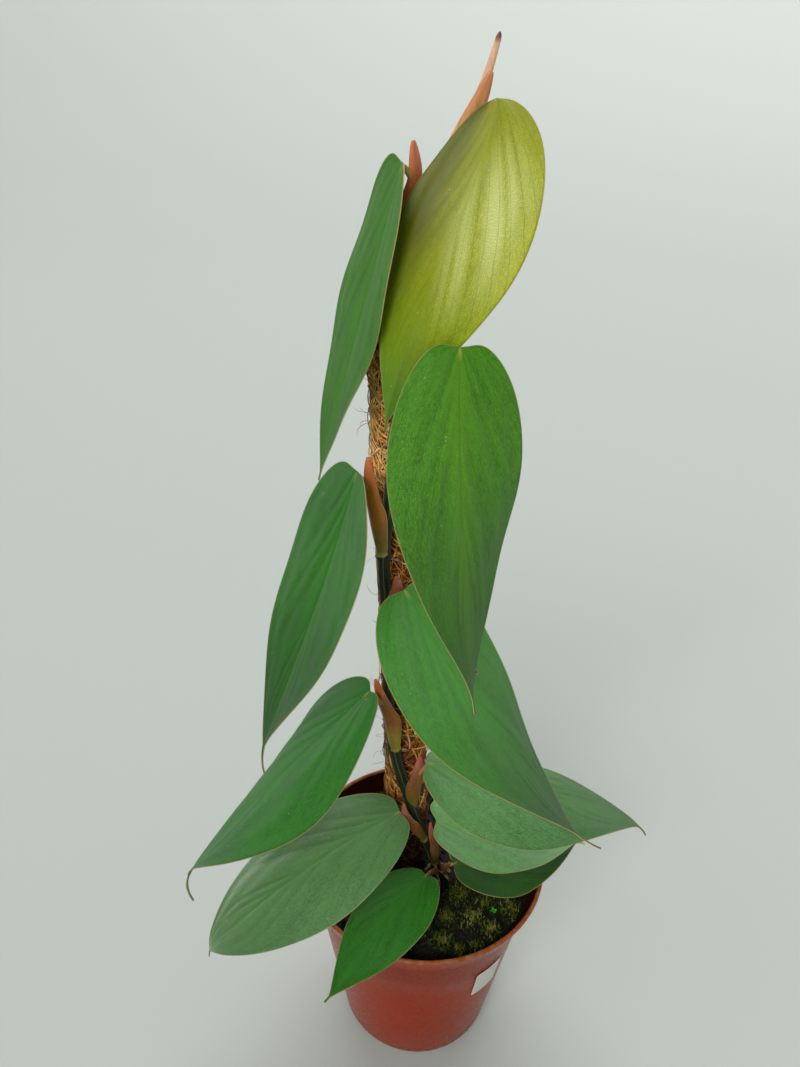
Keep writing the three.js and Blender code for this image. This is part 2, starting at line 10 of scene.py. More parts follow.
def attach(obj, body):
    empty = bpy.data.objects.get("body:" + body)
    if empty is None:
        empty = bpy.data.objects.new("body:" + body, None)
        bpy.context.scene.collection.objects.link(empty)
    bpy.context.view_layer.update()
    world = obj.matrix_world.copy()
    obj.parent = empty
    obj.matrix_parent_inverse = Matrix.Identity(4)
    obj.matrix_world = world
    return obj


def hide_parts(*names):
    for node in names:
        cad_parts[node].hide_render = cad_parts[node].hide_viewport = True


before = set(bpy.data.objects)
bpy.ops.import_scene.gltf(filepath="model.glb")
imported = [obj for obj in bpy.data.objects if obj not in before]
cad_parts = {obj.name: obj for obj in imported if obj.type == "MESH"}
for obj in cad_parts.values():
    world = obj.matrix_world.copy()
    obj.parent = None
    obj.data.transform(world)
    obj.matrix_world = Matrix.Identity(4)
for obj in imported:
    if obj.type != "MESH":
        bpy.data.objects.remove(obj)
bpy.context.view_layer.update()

# A young climbing philodendron on a coir pole, in a plastic nursery pot.
# Shapes are worked out in millimetres, and each mesh is brought to metres when it is finished.

# Camera
# The plant is seen from in front and above, close by, with the camera turned and tilted a little.

CAMERA_PLACE = Vector((0.0, -0.282, 0.435))
CAMERA_PITCH = math.radians(-28.1)
CAMERA_YAW = math.radians(-3.4)
CAMERA_ROLL = math.radians(1.9)
IMAGE_HEIGHT = 1067
FOCAL_PIXELS = 806
SENSOR = 36

sight = Vector((
    math.sin(CAMERA_YAW) * math.cos(CAMERA_PITCH),
    math.cos(CAMERA_YAW) * math.cos(CAMERA_PITCH),
    math.sin(CAMERA_PITCH),
))
level = Vector((math.cos(CAMERA_YAW), -math.sin(CAMERA_YAW), 0))
upright = level.cross(sight)
to_right = level * math.cos(CAMERA_ROLL) + upright * math.sin(CAMERA_ROLL)
to_top = upright * math.cos(CAMERA_ROLL) - level * math.sin(CAMERA_ROLL)
camera = bpy.data.objects.new("camera", bpy.data.cameras.new("camera"))
camera.data.sensor_width = SENSOR
camera.data.lens = SENSOR * FOCAL_PIXELS / IMAGE_HEIGHT
camera.data.clip_start = 0.01
turned = Matrix((to_right, to_top, -sight)).transposed().to_4x4()
camera.matrix_world = Matrix.Translation(CAMERA_PLACE) @ turned
bpy.context.scene.collection.objects.link(camera)
bpy.context.scene.camera = camera


# Floor and light
# A wide matt floor that curves up far away, a pale sky all round, a broad soft light from behind
# the camera, as from a large window, and softer ones from overhead and from the left.

MM = 0.001
# Radius and height.
FLOOR_PROFILE = [(0, 0), (2600, 0), (3600, 120), (4600, 500), (5600, 1300), (6300, 2500), (6700, 4200)]
FLOOR_GREY = "#a8ada8"
SKY_GREY = "#e8ecea"
SKY_STRENGTH = 0.42
# Strength, width, azimuth from the camera towards the right, and elevation, in degrees.
SOFT_LIGHTS = {"window": (3.9, 34, -18, 31), "overhead": (2.3, 60, 180, 54), "side": (0.7, 50, -62, 28)}


def linear(hex_colour):
    """An sRGB hex colour as linear red, green, blue and alpha."""
    parts = [int(hex_colour[i:i + 2], 16) / 255 for i in (1, 3, 5)]
    return [*(p / 12.92 if p <= 0.04045 else ((p + 0.055) / 1.055) ** 2.4 for p in parts), 1]


def add_node(tree, kind, inputs=(), stops=(), **settings):
    """A shader node with its settings. Its inputs, a list from the first one on or a dictionary,
    each take a value, a hex colour, a node or a socket. A MapRange lists its value, where that
    starts and ends, and what comes out there."""
    node = tree.nodes.new("ShaderNode" + kind)
    for name, value in settings.items():
        setattr(node, name, value)
    for i, (place, colour) in enumerate(stops):
        elements = node.color_ramp.elements
        element = elements[i] if i < 2 else elements.new(place)
        element.position = place
        element.color = linear(colour)
    for socket, value in inputs.items() if isinstance(inputs, dict) else enumerate(inputs):
        if isinstance(value, bpy.types.Node):
            value = next(output for output in value.outputs if output.enabled)
        if isinstance(value, bpy.types.NodeSocket):
            tree.links.new(value, node.inputs[socket])
        else:
            node.inputs[socket].default_value = linear(value) if isinstance(value, str) else value
    return node


def made_of(finish, *details, name=None, **more):
    """A material. Its finish is a function that adds its nodes: it is given the means to add them
    and the Object coordinates, and returns the shader's inputs. Base Color lists the colour below,
    then each coat on it after its strength, and Normal is a relief's height, strength and depth."""
    material = bpy.data.materials.new(name or finish.__name__)
    material.use_nodes = True
    material.node_tree.nodes.clear()
    add = partial(add_node, material.node_tree)
    inputs = finish(add, add("TexCoord").outputs["Object"], *details, **more)
    colour, *coats = inputs["Base Color"]
    for strength, coat in coats:
        colour = add("Mix", {0: strength, 6: colour, 7: coat}, data_type="RGBA")
    inputs["Base Color"] = colour
    if "Normal" in inputs:
        inputs["Normal"] = add("Bump", dict(zip(("Height", "Strength", "Distance"), inputs["Normal"])))
    shader = add("BsdfPrincipled", inputs)
    add("OutputMaterial", {"Surface": shader})
    return material


def turned_solid(profile, steps):
    """A solid turned about the Z axis from its profile of radius and height."""
    bm = bmesh.new()
    corners = [bm.verts.new((radius, 0, height)) for radius, height in profile]
    edges = [bm.edges.new(pair) for pair in zip(corners, corners[1:])]
    bmesh.ops.spin(
        bm, geom=corners + edges, cent=(0, 0, 0), axis=(0, 0, 1), angle=math.tau, steps=steps,
        use_merge=True,
    )
    bmesh.ops.remove_doubles(bm, verts=bm.verts, dist=1e-4)
    bmesh.ops.recalc_face_normals(bm, faces=bm.faces)
    return bm


def placed(name, mesh, materials):
    """A mesh's object, at the origin, with these materials."""
    for material in materials:
        mesh.materials.append(material)
    piece = bpy.data.objects.new(name, mesh)
    bpy.context.scene.collection.objects.link(piece)
    return piece


def finished(name, bm, *materials):
    """Turns a bmesh in millimetres into a smooth object in metres with these materials."""
    bmesh.ops.scale(bm, vec=(MM, MM, MM), verts=bm.verts)
    for face in bm.faces:
        face.smooth = True
    mesh = bpy.data.meshes.new(name)
    bm.to_mesh(mesh)
    bm.free()
    return placed(name, mesh, materials)


def matt_paint(add, place):
    """Flat wall paint: no gloss at all."""
    return {"Base Color": [FLOOR_GREY], "Roughness": 0.95}


floor = finished("floor", turned_solid(FLOOR_PROFILE, 96), made_of(matt_paint))

world = bpy.data.worlds.new("pale_sky")
world.use_nodes = True
world.node_tree.nodes.clear()
sky = add_node(world.node_tree, "Background", {"Color": SKY_GREY, "Strength": SKY_STRENGTH})
add_node(world.node_tree, "OutputWorld", {"Surface": sky})
bpy.context.scene.world = world

for name, (strength, width, azimuth, elevation) in SOFT_LIGHTS.items():
    light = bpy.data.objects.new(name, bpy.data.lights.new(name, "SUN"))
    light.data.energy = strength
    light.data.angle = math.radians(width)
    azimuth, elevation = math.radians(azimuth), math.radians(elevation)
    downwards = Vector((
        -math.sin(azimuth) * math.cos(elevation),
        math.cos(azimuth) * math.cos(elevation),
        -math.sin(elevation),
    ))
    light.rotation_mode = "QUATERNION"
    light.rotation_quaternion = downwards.to_track_quat("-Z", "Y")
    bpy.context.scene.collection.objects.link(light)
bpy.context.scene.view_settings.view_transform = "Standard"


# Pot
# A 12 cm nursery pot, moulded in one thin wall of glossy terracotta-coloured polypropylene: a
# tapering body with drain holes, a collar band round its top and a narrow rounded lip.

POT_HEIGHT = 105
RIM_RADIUS = 60
BASE_RADIUS = 39
SHOULDER_RADIUS = 54
COLLAR_FOOT_RADIUS = 56
SHOULDER = POT_HEIGHT - 12
WALL = 1.3
FLOOR_THICKNESS = 1.6
LIP = 2
LIP_STEPS = 10
DRAIN_HOLES, DRAIN_RADIUS, DRAIN_RING = 6, 3.5, 28
POT_STEPS = 120

TERRACOTTA = "#9e3207"
# The deep tone is also the painted shade on the body below the collar. The tan is a painted highlight on
# the lip, the near-black brown painted shade inside the pot, and the olive grey a painted reflection on the
# collar.
DEEP_TERRACOTTA = "#872503"
LIME_BLOOM = "#b79d74"
SOIL_STAIN = "#0f0805"
ALGAE = "#5f5a26"
# How dark the painted shade on the wall inside the pot is.
STAINED = 0.96


def polar(radius, turn):
    return radius * math.cos(turn), radius * math.sin(turn)


def wall_radius(height):
    """The pot's outer radius below its collar."""
    return BASE_RADIUS + (SHOULDER_RADIUS - BASE_RADIUS) * height / SHOULDER


def moulded_polypropylene(add, place, stain):
    """Polypropylene from a polished mould: an even satin gloss with faint scuffs. A painted reflection lies
    in greyish streaks over the collar, a painted highlight in pale patches on the lip, and painted shade on
    the body below the collar; the wall inside the pot has painted shade as deep as the share it is given."""
    height = add("SeparateXYZ", [place]).outputs["Z"]
    cloud = add("TexNoise", {"Vector": place, "Scale": 28, "Detail": 4})
    grain = add("TexNoise", {"Vector": place, "Scale": 240, "Detail": 5, "Roughness": 0.7})
    streak = add("TexNoise", {"Vector": place, "Scale": 55, "Detail": 3})
    # Painted shade on the body below the collar, a painted reflection over the collar and a painted
    # highlight on the lip.
    below_collar = add("MapRange", [height, (SHOULDER - 1) * MM, (SHOULDER + 1) * MM, 0.55, 0])
    under_lip = add("MapRange", [height, (SHOULDER + 2) * MM, (POT_HEIGHT - 2) * MM, 0, 1])
    on_lip = add("MapRange", [height, (POT_HEIGHT - 3) * MM, (POT_HEIGHT - 1) * MM, 0, 1])
    algae = add("Math", [streak, under_lip], operation="MULTIPLY")
    lime = add("Math", [grain, on_lip], operation="MULTIPLY")
    return {
        "Base Color": [
            TERRACOTTA,
            (cloud, DEEP_TERRACOTTA),
            (below_collar, DEEP_TERRACOTTA),
            (add("MapRange", [algae, 0.2, 0.7, 0, 0.55]), ALGAE),
            (add("MapRange", [lime, 0.38, 0.7, 0, 0.28]), LIME_BLOOM),
            # Painted shade on the wall inside the pot.
            (add("MapRange", [streak, 0.2, 0.75, stain, 0.9 * stain]), SOIL_STAIN),
        ],
        "Roughness": add("MapRange", [grain, 0.3, 0.75, 0.24, 0.32]), "IOR": 1.49,
        "Normal": (grain, 0.1, 0.00015), "Specular IOR Level": 0.1 * (1 - stain) + 0.03,
    }


pot_profile = [
    (0, 0),
    (BASE_RADIUS - 1.5, 0),
    (BASE_RADIUS - 0.4, 0.5),
    (BASE_RADIUS, 1.6),
    (wall_radius(30), 30),
    (wall_radius(60), 60),
    (SHOULDER_RADIUS, SHOULDER - 0.8),
    (SHOULDER_RADIUS + 0.5, SHOULDER - 0.4),
    (COLLAR_FOOT_RADIUS - 0.4, SHOULDER - 0.1),
    (COLLAR_FOOT_RADIUS, SHOULDER + 0.5),
    (RIM_RADIUS - LIP / 2, POT_HEIGHT - LIP),
]
for step in range(LIP_STEPS + 1):
    out, up = polar(LIP / 2, math.radians(-70 + 250 * step / LIP_STEPS))
    pot_profile.append((RIM_RADIUS - LIP / 2 + out, POT_HEIGHT - LIP / 2 + up))
pot_profile += [
    (RIM_RADIUS - LIP - 0.4, POT_HEIGHT - 2.2),
    (COLLAR_FOOT_RADIUS - WALL, SHOULDER + WALL),
    (SHOULDER_RADIUS - WALL, SHOULDER),
    (wall_radius(3) - WALL, 3),
    (wall_radius(0) - WALL - 1.4, FLOOR_THICKNESS),
    (0, FLOOR_THICKNESS),
]
clean_wall = made_of(moulded_polypropylene, 0)
# A copy of the finish with painted shade, for the wall inside the pot.
stained_wall = made_of(moulded_polypropylene, STAINED, name="soil_stained_polypropylene")
pot = finished("pot_moulding", turned_solid(pot_profile, POT_STEPS), clean_wall, stained_wall)

bm = bmesh.new()
for hole in range(DRAIN_HOLES):
    centre = polar(DRAIN_RING, math.tau * (hole + 0.5) / DRAIN_HOLES)
    bmesh.ops.create_cone(
        bm, cap_ends=True, segments=32, radius1=DRAIN_RADIUS, radius2=DRAIN_RADIUS,
        depth=3 * FLOOR_THICKNESS, matrix=Matrix.Translation((*centre, FLOOR_THICKNESS / 2)),
    )
drills = finished("drain_drills", bm)
cut = pot.modifiers.new("drain_holes", "BOOLEAN")
cut.object = drills
cut.solver = "EXACT"
bpy.context.view_layer.update()
drilled = bpy.data.meshes.new_from_object(pot.evaluated_get(bpy.context.evaluated_depsgraph_get()))
pot.modifiers.clear()
pot.data = drilled
bpy.data.objects.remove(drills)
# The faces inside the pot take the copy with painted shade.
for face in pot.data.polygons:
    faces_inward = face.normal.x * face.center.x + face.normal.y * face.center.y < -1e-3
    if faces_inward and FLOOR_THICKNESS < face.center.z / MM < POT_HEIGHT - 1.5:
        face.material_index = 1
sharp = pot.modifiers.new("crisp_edges", "EDGE_SPLIT")
sharp.split_angle = math.radians(50)
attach(pot, "root")
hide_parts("pot")


# Label
# A blank paper slip with rounded corners, stuck on the pot's wall below the collar.

LABEL_WIDTH, LABEL_HEIGHT, LABEL_TOP = 17, 20, 72.5
LABEL_CORNER = 1.6
LABEL_ANGLE = math.radians(-46)
LABEL_STAND_OFF = 0.35
LABEL_THICKNESS = 0.15
PAPER_WHITE, PAPER_GREY = "#c9c9c0", "#b9bab2"


def shaped_grid(columns, rows, place):
    """A grid, and its UV map, whose point at u across and v along goes where place(u, v) says."""
    bm = bmesh.new()
    uv = bm.loops.layers.uv.new("surface")
    bmesh.ops.create_grid(bm, x_segments=columns, y_segments=rows, size=0.5)
    spots = {vertex: (vertex.co.x + 0.5, vertex.co.y + 0.5) for vertex in bm.verts}
    for face in bm.faces:
        for loop in face.loops:
            loop[uv].uv = spots[loop.vert]
    for vertex, (u, v) in spots.items():
        vertex.co = place(u, v)
    return bm


def clouded(add, place, tones, scale, detail, roughness, relief, stretch=1, between=(0, 1)):
    """A plain finish with a cloud or grain of two tones in it, and its relief, in strength and
    depth. stretch draws the grain out along the piece, and between parts the tones more sharply."""
    if stretch != 1:
        place = add("Mapping", {"Vector": place, "Scale": (1, 1, stretch)})
    cloud = add("TexNoise", {"Vector": place, "Scale": scale, "Detail": detail})
    share = cloud if between == (0, 1) else add("MapRange", [cloud, *between, 0, 1])
    return {"Base Color": [tones[0], (share, tones[1])], "Roughness": roughness, "Normal": (cloud, *relief)}


def label_place(u, v):
    """The corners draw in over a quarter circle."""
    x = (u - 0.5) * LABEL_WIDTH
    y = (v - 0.5) * LABEL_HEIGHT
    inset = max(0, abs(y) - (LABEL_HEIGHT / 2 - LABEL_CORNER))
    half = LABEL_WIDTH / 2 - LABEL_CORNER + math.sqrt(max(0, LABEL_CORNER ** 2 - inset ** 2))
    x *= half / (LABEL_WIDTH / 2)
    height = LABEL_TOP - LABEL_HEIGHT / 2 + y
    radius = wall_radius(height) + LABEL_STAND_OFF
    return Vector((*polar(radius, LABEL_ANGLE + x / SHOULDER_RADIUS), height))


# Smooth label paper: white with a faint fibre cloud and a soft shine from its glaze.
coated_paper = made_of(
    clouded, (PAPER_WHITE, PAPER_GREY), 300, 4, roughness=0.4, relief=(0.1, 0.0002), name="coated_paper",
)
label = finished("label_slip", shaped_grid(24, 24, label_place), coated_paper)
thickness = label.modifiers.new("thickness", "SOLIDIFY")
thickness.thickness = LABEL_THICKNESS * MM
thickness.offset = 0
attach(label, "root")
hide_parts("label")


# Soil
# Dark damp peat with a crumbly, slightly heaped top, filled to about 10 mm below the rim, and
# loose crumbs of peat and bark lying on it.

SOIL_LEVEL = 95
SOIL_RADIUS = 54.1
SOIL_DEPTH = 8
CRUMBS = 2600
PEAT_BLACK, PEAT_BROWN = "#0a0704", "#261a10"
CRUMB_COLOURS = ["#0f0b07", "#2c1e12", "#5e4930"]
CRUMB_SHARES = (0.6, 0.33, 0.07)


def soil_top(x, y):
    """The height of the soil's heaped and crumbly top."""
    heap = math.sin(x / 6.1 + 0.7) * math.cos(y / 7.3) + math.sin((x + y) / 11)
    crumb = noise.fractal(Vector((x / 3.2, y / 3.2, 0)), 0.8, 2.2, 4)
    at_wall = max(0, math.hypot(x, y) - (SOIL_RADIUS - 6)) / 6
    return SOIL_LEVEL + 1.1 * heap * (1 - at_wall) + 0.9 * crumb - 1.2 * at_wall


def soil_place(u, v):
    """The top from its middle to the pot's collar, then down over the step inside the pot."""
    rim_at = 0.94
    x, y = polar(SOIL_RADIUS * min(1, v / rim_at), math.tau * u)
    down = max(0, v - rim_at) / (1 - rim_at)
    inward = 1 - 0.06 * min(1, 2 * down)
    return Vector((x * inward, y * inward, soil_top(x, y) - SOIL_DEPTH * down))


def damp_peat(add, place):
    """Damp peat drinks the light: nearly black with browner dry crumbs, rough, with wet glints."""
    crumb = add("TexNoise", {"Vector": place, "Scale": 420, "Detail": 6, "Roughness": 0.7})
    dry = add("MapRange", [crumb, 0.42, 0.7, 0, 1])
    return {
        "Base Color": [PEAT_BLACK, (dry, PEAT_BROWN)], "Normal": (crumb, 0.9, 0.0012),
        "Roughness": add("MapRange", [crumb, 0.3, 0.6, 0.55, 0.95]), "Specular IOR Level": 0.3,
    }


def mottled(add, place, colour, scale, detail, darkest, palest, roughness, specular):
    """The finish of many small copies: one colour, darker and paler from place to place."""
    mottle = add("TexNoise", {"Vector": place, "Scale": scale, "Detail": detail})
    shade = add("MapRange", [mottle, 0.3, 0.7, darkest, palest])
    lit = add("VectorMath", {0: linear(colour)[:3], "Scale": shade}, operation="SCALE")
    return {"Base Color": [lit], "Roughness": roughness, "Specular IOR Level": specular}


# A crumb of peat or bark: matt, and a little paler where it is dry.
dry_crumb = partial(
    made_of, mottled, scale=900, detail=3, darkest=0.6, palest=1.3, roughness=0.9, specular=0.25,
)


def closed(bm):
    """A shaped grid whose long sides meet, joined there and closed at its ends."""
    bmesh.ops.remove_doubles(bm, verts=bm.verts, dist=1e-4)
    bmesh.ops.holes_fill(bm, edges=bm.edges)
    bmesh.ops.recalc_face_normals(bm, faces=bm.faces)
    return bm


soil = finished("soil_peat", closed(shaped_grid(220, 64, soil_place)), made_of(damp_peat))
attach(soil, "root")
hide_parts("soil")


def template(bm):
    """The corners and faces of a small shape that is copied many times."""
    corners = [vertex.co.copy() for vertex in bm.verts]
    faces = [[vertex.index for vertex in face.verts] for face in bm.faces]
    bm.free()
    return corners, faces


def strewn(name, templates, places, materials):
    """One piece of many small copies: each place is a template's number and a matrix."""
    corners, faces, kinds = [], [], []
    for kind, matrix in places:
        first = len(corners)
        corners.extend(matrix @ corner for corner in templates[kind][0])
        faces.extend([first + i for i in face] for face in templates[kind][1])
        kinds.extend([kind] * len(templates[kind][1]))
    mesh = bpy.data.meshes.new(name)
    mesh.from_pydata(corners, [], faces)
    mesh.polygons.foreach_set("material_index", kinds)
    mesh.transform(Matrix.Scale(MM, 4))
    return placed(name, mesh, materials)


def lump(seed):
    """An uneven crumb about one millimetre across."""
    bm = bmesh.new()
    bmesh.ops.create_icosphere(bm, subdivisions=1, radius=0.5)
    for vertex in bm.verts:
        vertex.co *= 1 + 0.35 * noise.noise(vertex.co * 3 + Vector((seed * 7.1, 0, 0)))
    return template(bm)


rng = random.Random(4)
crumb_places = []
while len(crumb_places) < CRUMBS:
    radius = (SOIL_RADIUS - 1) * math.sqrt(rng.random())
    x, y = polar(radius, rng.uniform(0, math.tau))
    size = 0.5 + 1.7 * rng.random() ** 3
    sizes = Matrix.Diagonal((size * rng.uniform(0.7, 1.5), size, size * rng.uniform(0.5, 1), 1))
    spin = Matrix.Rotation(rng.uniform(0, 6), 4, "Z") @ Matrix.Rotation(rng.uniform(0, 6), 4, "X")
    place = Matrix.Translation((x, y, soil_top(x, y) + 0.1 * size))
    kind = rng.choices((0, 1, 2), CRUMB_SHARES)[0]
    crumb_places.append((kind, place @ spin @ sizes))
crumbs = strewn(
    "soil_crumbs", [lump(seed) for seed in range(3)], crumb_places,
    [dry_crumb(colour, name=f"peat_crumb_{i}") for i, colour in enumerate(CRUMB_COLOURS)],
)
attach(crumbs, "root")


# Moss
# Small cushions of moss on the damp peat, dark olive low down and yellow-green at their tops, with tan dry
# stalks among them, and one bright seedling. The darkest shoots at the cushions' edges and between them are
# partly painted shade, and the yellow-green and tan shoots on their tops partly painted highlight.

# Centre x and y, radius, and how dry it is, from 0 to 1.
MOSS_CUSHIONS = [
    (18, -17, 8, 0.1), (25, -29, 7.5, 0.5), (34, -34, 6, 0.5), (43, -22, 7.5, 0.3), (46, -29, 4, 0.75),
    (36, -13, 7, 0.2), (11, -42, 8, 0.3), (19, -45, 5.5, 0.6), (2, -36, 7, 0.1), (27, -42, 5, 0.3),
    (31, -21, 6, 0.15), (12, -29, 7, 0.2), (-6, -46, 6, 0.3), (-34, 44, 9, 0.1), (-24, 40, 7, 0.25),
    (-42, 28, 6, 0.2), (-16, 34, 6, 0.4), (12, 36, 9, 0.2), (30, 26, 8, 0.35), (-30, 12, 6, 0.1),
    (44, 8, 5, 0.5), (-6, 46, 6, 0.3), (-38, -14, 7, 0.3), (-20, -34, 6, 0.2),
]
SHOOTS_PER_AREA = 15
SPARE_SHOOTS = 2600
# From the darkest shoots, low down and partly painted shade, to the tops and the dry stalks, which are
# partly painted highlight.
MOSS_COLOURS = ["#131c04", "#384a0b", "#6c781b", "#a39650"]
SEEDLING_PLACE = (35.2, -25.5)
SEEDLING_GREEN = "#3fae1c"

# Moss leaf tissue: soft and matt, mottled from shoot to shoot.
moss_shoot = partial(
    made_of, mottled, scale=350, detail=3, darkest=0.55, palest=1.25, roughness=0.7, specular=0.3,
)

bm = bmesh.new()
bmesh.ops.create_cone(
    bm, cap_ends=True, segments=3, radius1=0.2, radius2=0.03, depth=1,
    matrix=Matrix.Translation((0, 0, 0.5)),
)
shoot = template(bm)
rng = random.Random(11)
shoots = []


def plant_shoot(x, y, kind, length, mound=0):
    """One shoot leaning a little to any side, on a mound of older shoots."""
    lean = Matrix.Rotation(rng.gauss(0, 0.35), 4, "X") @ Matrix.Rotation(rng.gauss(0, 0.35), 4, "Y")
    place = Matrix.Translation((x, y, soil_top(x, y) - 0.3 + mound))
    thick = rng.uniform(0.8, 1.5)
    shoots.append((kind, place @ lean @ Matrix.Diagonal((thick, thick, length, 1))))


for x, y, radius, dry in MOSS_CUSHIONS:
    for _ in range(int(SHOOTS_PER_AREA * radius * radius)):
        away = rng.random() ** 0.7
        dx, dy = polar(away * radius, rng.uniform(0, math.tau))
        px, py = x + dx, y + dy
        if math.hypot(px, py) > SOIL_RADIUS - 1.5:
            continue
        patch = noise.noise(Vector((px / 2.5, py / 2.5, 3)))
        # Shoots near a cushion's top are more often yellow-green or tan, partly painted highlight, and
        # those at its edge more often the darkest, partly painted shade.
        bright = (1 - away) * (1 + patch)
        kind = 3 if rng.random() < 0.35 * dry * bright else (2 if rng.random() < bright else 1)
        kind = 0 if rng.random() < 0.15 + 0.6 * away else kind
        mound = 0.24 * radius * (1 - away * away) * (1 + patch)
        plant_shoot(px, py, kind, rng.uniform(0.8, 2.2) * (1 + 0.5 * (kind == 3)), mound)
# The shoots between the cushions are mostly the darkest: partly painted shade.
for _ in range(SPARE_SHOOTS):
    away = (SOIL_RADIUS - 2) * math.sqrt(rng.random())
    spot = polar(away, rng.uniform(0, math.tau))
    plant_shoot(*spot, rng.choice((0, 0, 1)), rng.uniform(0.6, 1.5))
moss = strewn(
    "moss_cushions", [shoot] * len(MOSS_COLOURS), shoots,
    [moss_shoot(colour, name=f"moss_{i}") for i, colour in enumerate(MOSS_COLOURS)],
)
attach(moss, "root")

x, y = SEEDLING_PLACE
bm = bmesh.new()
bmesh.ops.create_cone(
    bm, cap_ends=True, segments=8, radius1=0.18, radius2=0.14, depth=2.4,
    matrix=Matrix.Translation((x, y, soil_top(x, y) + 1)),
)
for leaflet in range(4):
    turn = Matrix.Rotation(math.radians(20 + 90 * leaflet), 4, "Z")
    bmesh.ops.create_icosphere(
        bm, subdivisions=2, radius=0.75,
        matrix=Matrix.Translation((x, y, soil_top(x, y) + 2.2 + 0.2 * (leaflet % 2)))
        @ turn @ Matrix.Rotation(-0.3, 4, "Y") @ Matrix.Translation((0.9, 0, 0))
        @ Matrix.Diagonal((1.1, 0.8, 0.16, 1)),
    )
seedling = finished("seedling", bm, moss_shoot(SEEDLING_GREEN, name="seedling_leaf"))
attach(seedling, "root")


# Coir pole
# A stiff cane with a mat of brown coconut fibre round it. The mat is pressed firm, and its
# fibres run every way, with loose golden ones standing proud and a few stray hairs.

POLE_LEAN = math.tan(math.radians(3))
POLE_X_AT_RIM, POLE_Y = -8.1, 4.3
POLE_FOOT, POLE_TOP = 6, 384
CORE_RADIUS = 5
COIR_FOOT, COIR_TOP = 88, 382
COIR_RADIUS = 8.6
MAT_ROWS = 150
LAID_FIBRES, LOOSE_FIBRES, STRAY_HAIRS = 2400, 520, 190
# Heights between which the mat was rubbed open and golden, up to which it is darkened with painted shade,
# and up to which it is reddish.
GOLDEN_FROM, GOLDEN_TO = 300, 352
WET_TO, REDDISH_TO = 130, 220
CANE, CANE_GRAIN = "#b8935a", "#7d5a2c"
MAT_DARK, MAT_BROWN, MAT_WET = "#3a1d0a", "#9c6226", "#150c06"
# The last fibre colour, near black, is painted shade near the soil.
FIBRE_COLOURS = ["#643010", "#ac6828", "#dfa04a", "#f4cc80", "#1f120a"]


def pole_x(height):
    return POLE_X_AT_RIM - POLE_LEAN * (height - POT_HEIGHT)


ALONG_POLE = Matrix((
    (1, 0, -POLE_LEAN, pole_x(0)),
    (0, 1, 0, POLE_Y),
    (0, 0, 1, 0),
    (0, 0, 0, 1),
))


def pressed_coir(add, place):
    """The mat under the loose fibres: deep brown, felted and quite without shine, darkened at its foot with
    painted shade.
    """
    stretched = add("Mapping", {"Vector": place, "Rotation": (0, 0.5, 0), "Scale": (1, 1, 0.16)})
    felt = add("TexNoise", {"Vector": stretched, "Scale": 1300, "Detail": 5, "Roughness": 0.7})
    strand = add("MapRange", [felt, 0.38, 0.68, 0, 1])
    height = add("SeparateXYZ", [place]).outputs["Z"]
    # Painted shade darkens the mat towards the soil.
    wet = add("MapRange", [height, (WET_TO - 10) * MM, (WET_TO + 10) * MM, 0.9, 0])
    return {
        "Base Color": [MAT_DARK, (strand, MAT_BROWN), (wet, MAT_WET)], "Roughness": 0.95,
        "Normal": (felt, 0.9, 0.0008), "Specular IOR Level": 0.2,
    }


# One coconut fibre: stiff, round and faintly glossy, a little darker here and there.
coconut_fibre = partial(
    made_of, mottled, scale=260, detail=2, darkest=0.6, palest=1.25, roughness=0.55, specular=0.3,
)
# A plain cane: pale straw-brown with fine grain along its length and a waxy skin.
split_cane = made_of(
    clouded, (CANE, CANE_GRAIN), 1500, 4, roughness=0.5, relief=(0.3, 0.0003), stretch=0.04,
    name="split_cane",
)
core_profile = [
    (0, POLE_FOOT), (CORE_RADIUS - 0.8, POLE_FOOT), (CORE_RADIUS, POLE_FOOT + 0.8),
    (CORE_RADIUS, POLE_TOP - 0.8), (CORE_RADIUS - 0.8, POLE_TOP), (0, POLE_TOP),
]
bm = turned_solid(core_profile, 32)
bmesh.ops.transform(bm, matrix=ALONG_POLE, verts=bm.verts)
core = finished("pole_cane", bm, split_cane)
edges = core.modifiers.new("crisp_edges", "EDGE_SPLIT")
edges.split_angle = math.radians(40)
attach(core, "root")
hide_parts("pole_core")

mat_profile = [
    (CORE_RADIUS + 0.1, COIR_FOOT),
    *((COIR_RADIUS, COIR_FOOT + (COIR_TOP - COIR_FOOT) * row / MAT_ROWS) for row in range(MAT_ROWS + 1)),
    (CORE_RADIUS + 0.1, COIR_TOP),
    (CORE_RADIUS + 0.1, COIR_FOOT),
]
bm = turned_solid(mat_profile, 64)
for vertex in bm.verts:
    x, y, z = vertex.co
    if math.hypot(x, y) > CORE_RADIUS + 1:
        lumps = noise.fractal(Vector((x / 4, y / 4, z / 7)), 0.8, 2, 3)
        ridges = noise.noise(Vector((x / 0.8, y / 0.8, z / 5)))
        grow = 1 + (0.45 * lumps + 0.25 * ridges) / COIR_RADIUS
        vertex.co.x *= grow
        vertex.co.y *= grow
bmesh.ops.transform(bm, matrix=ALONG_POLE, verts=bm.verts)
coir_mat = finished("coir_mat", bm, made_of(pressed_coir))
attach(coir_mat, "root")
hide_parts("coir_sleeve")


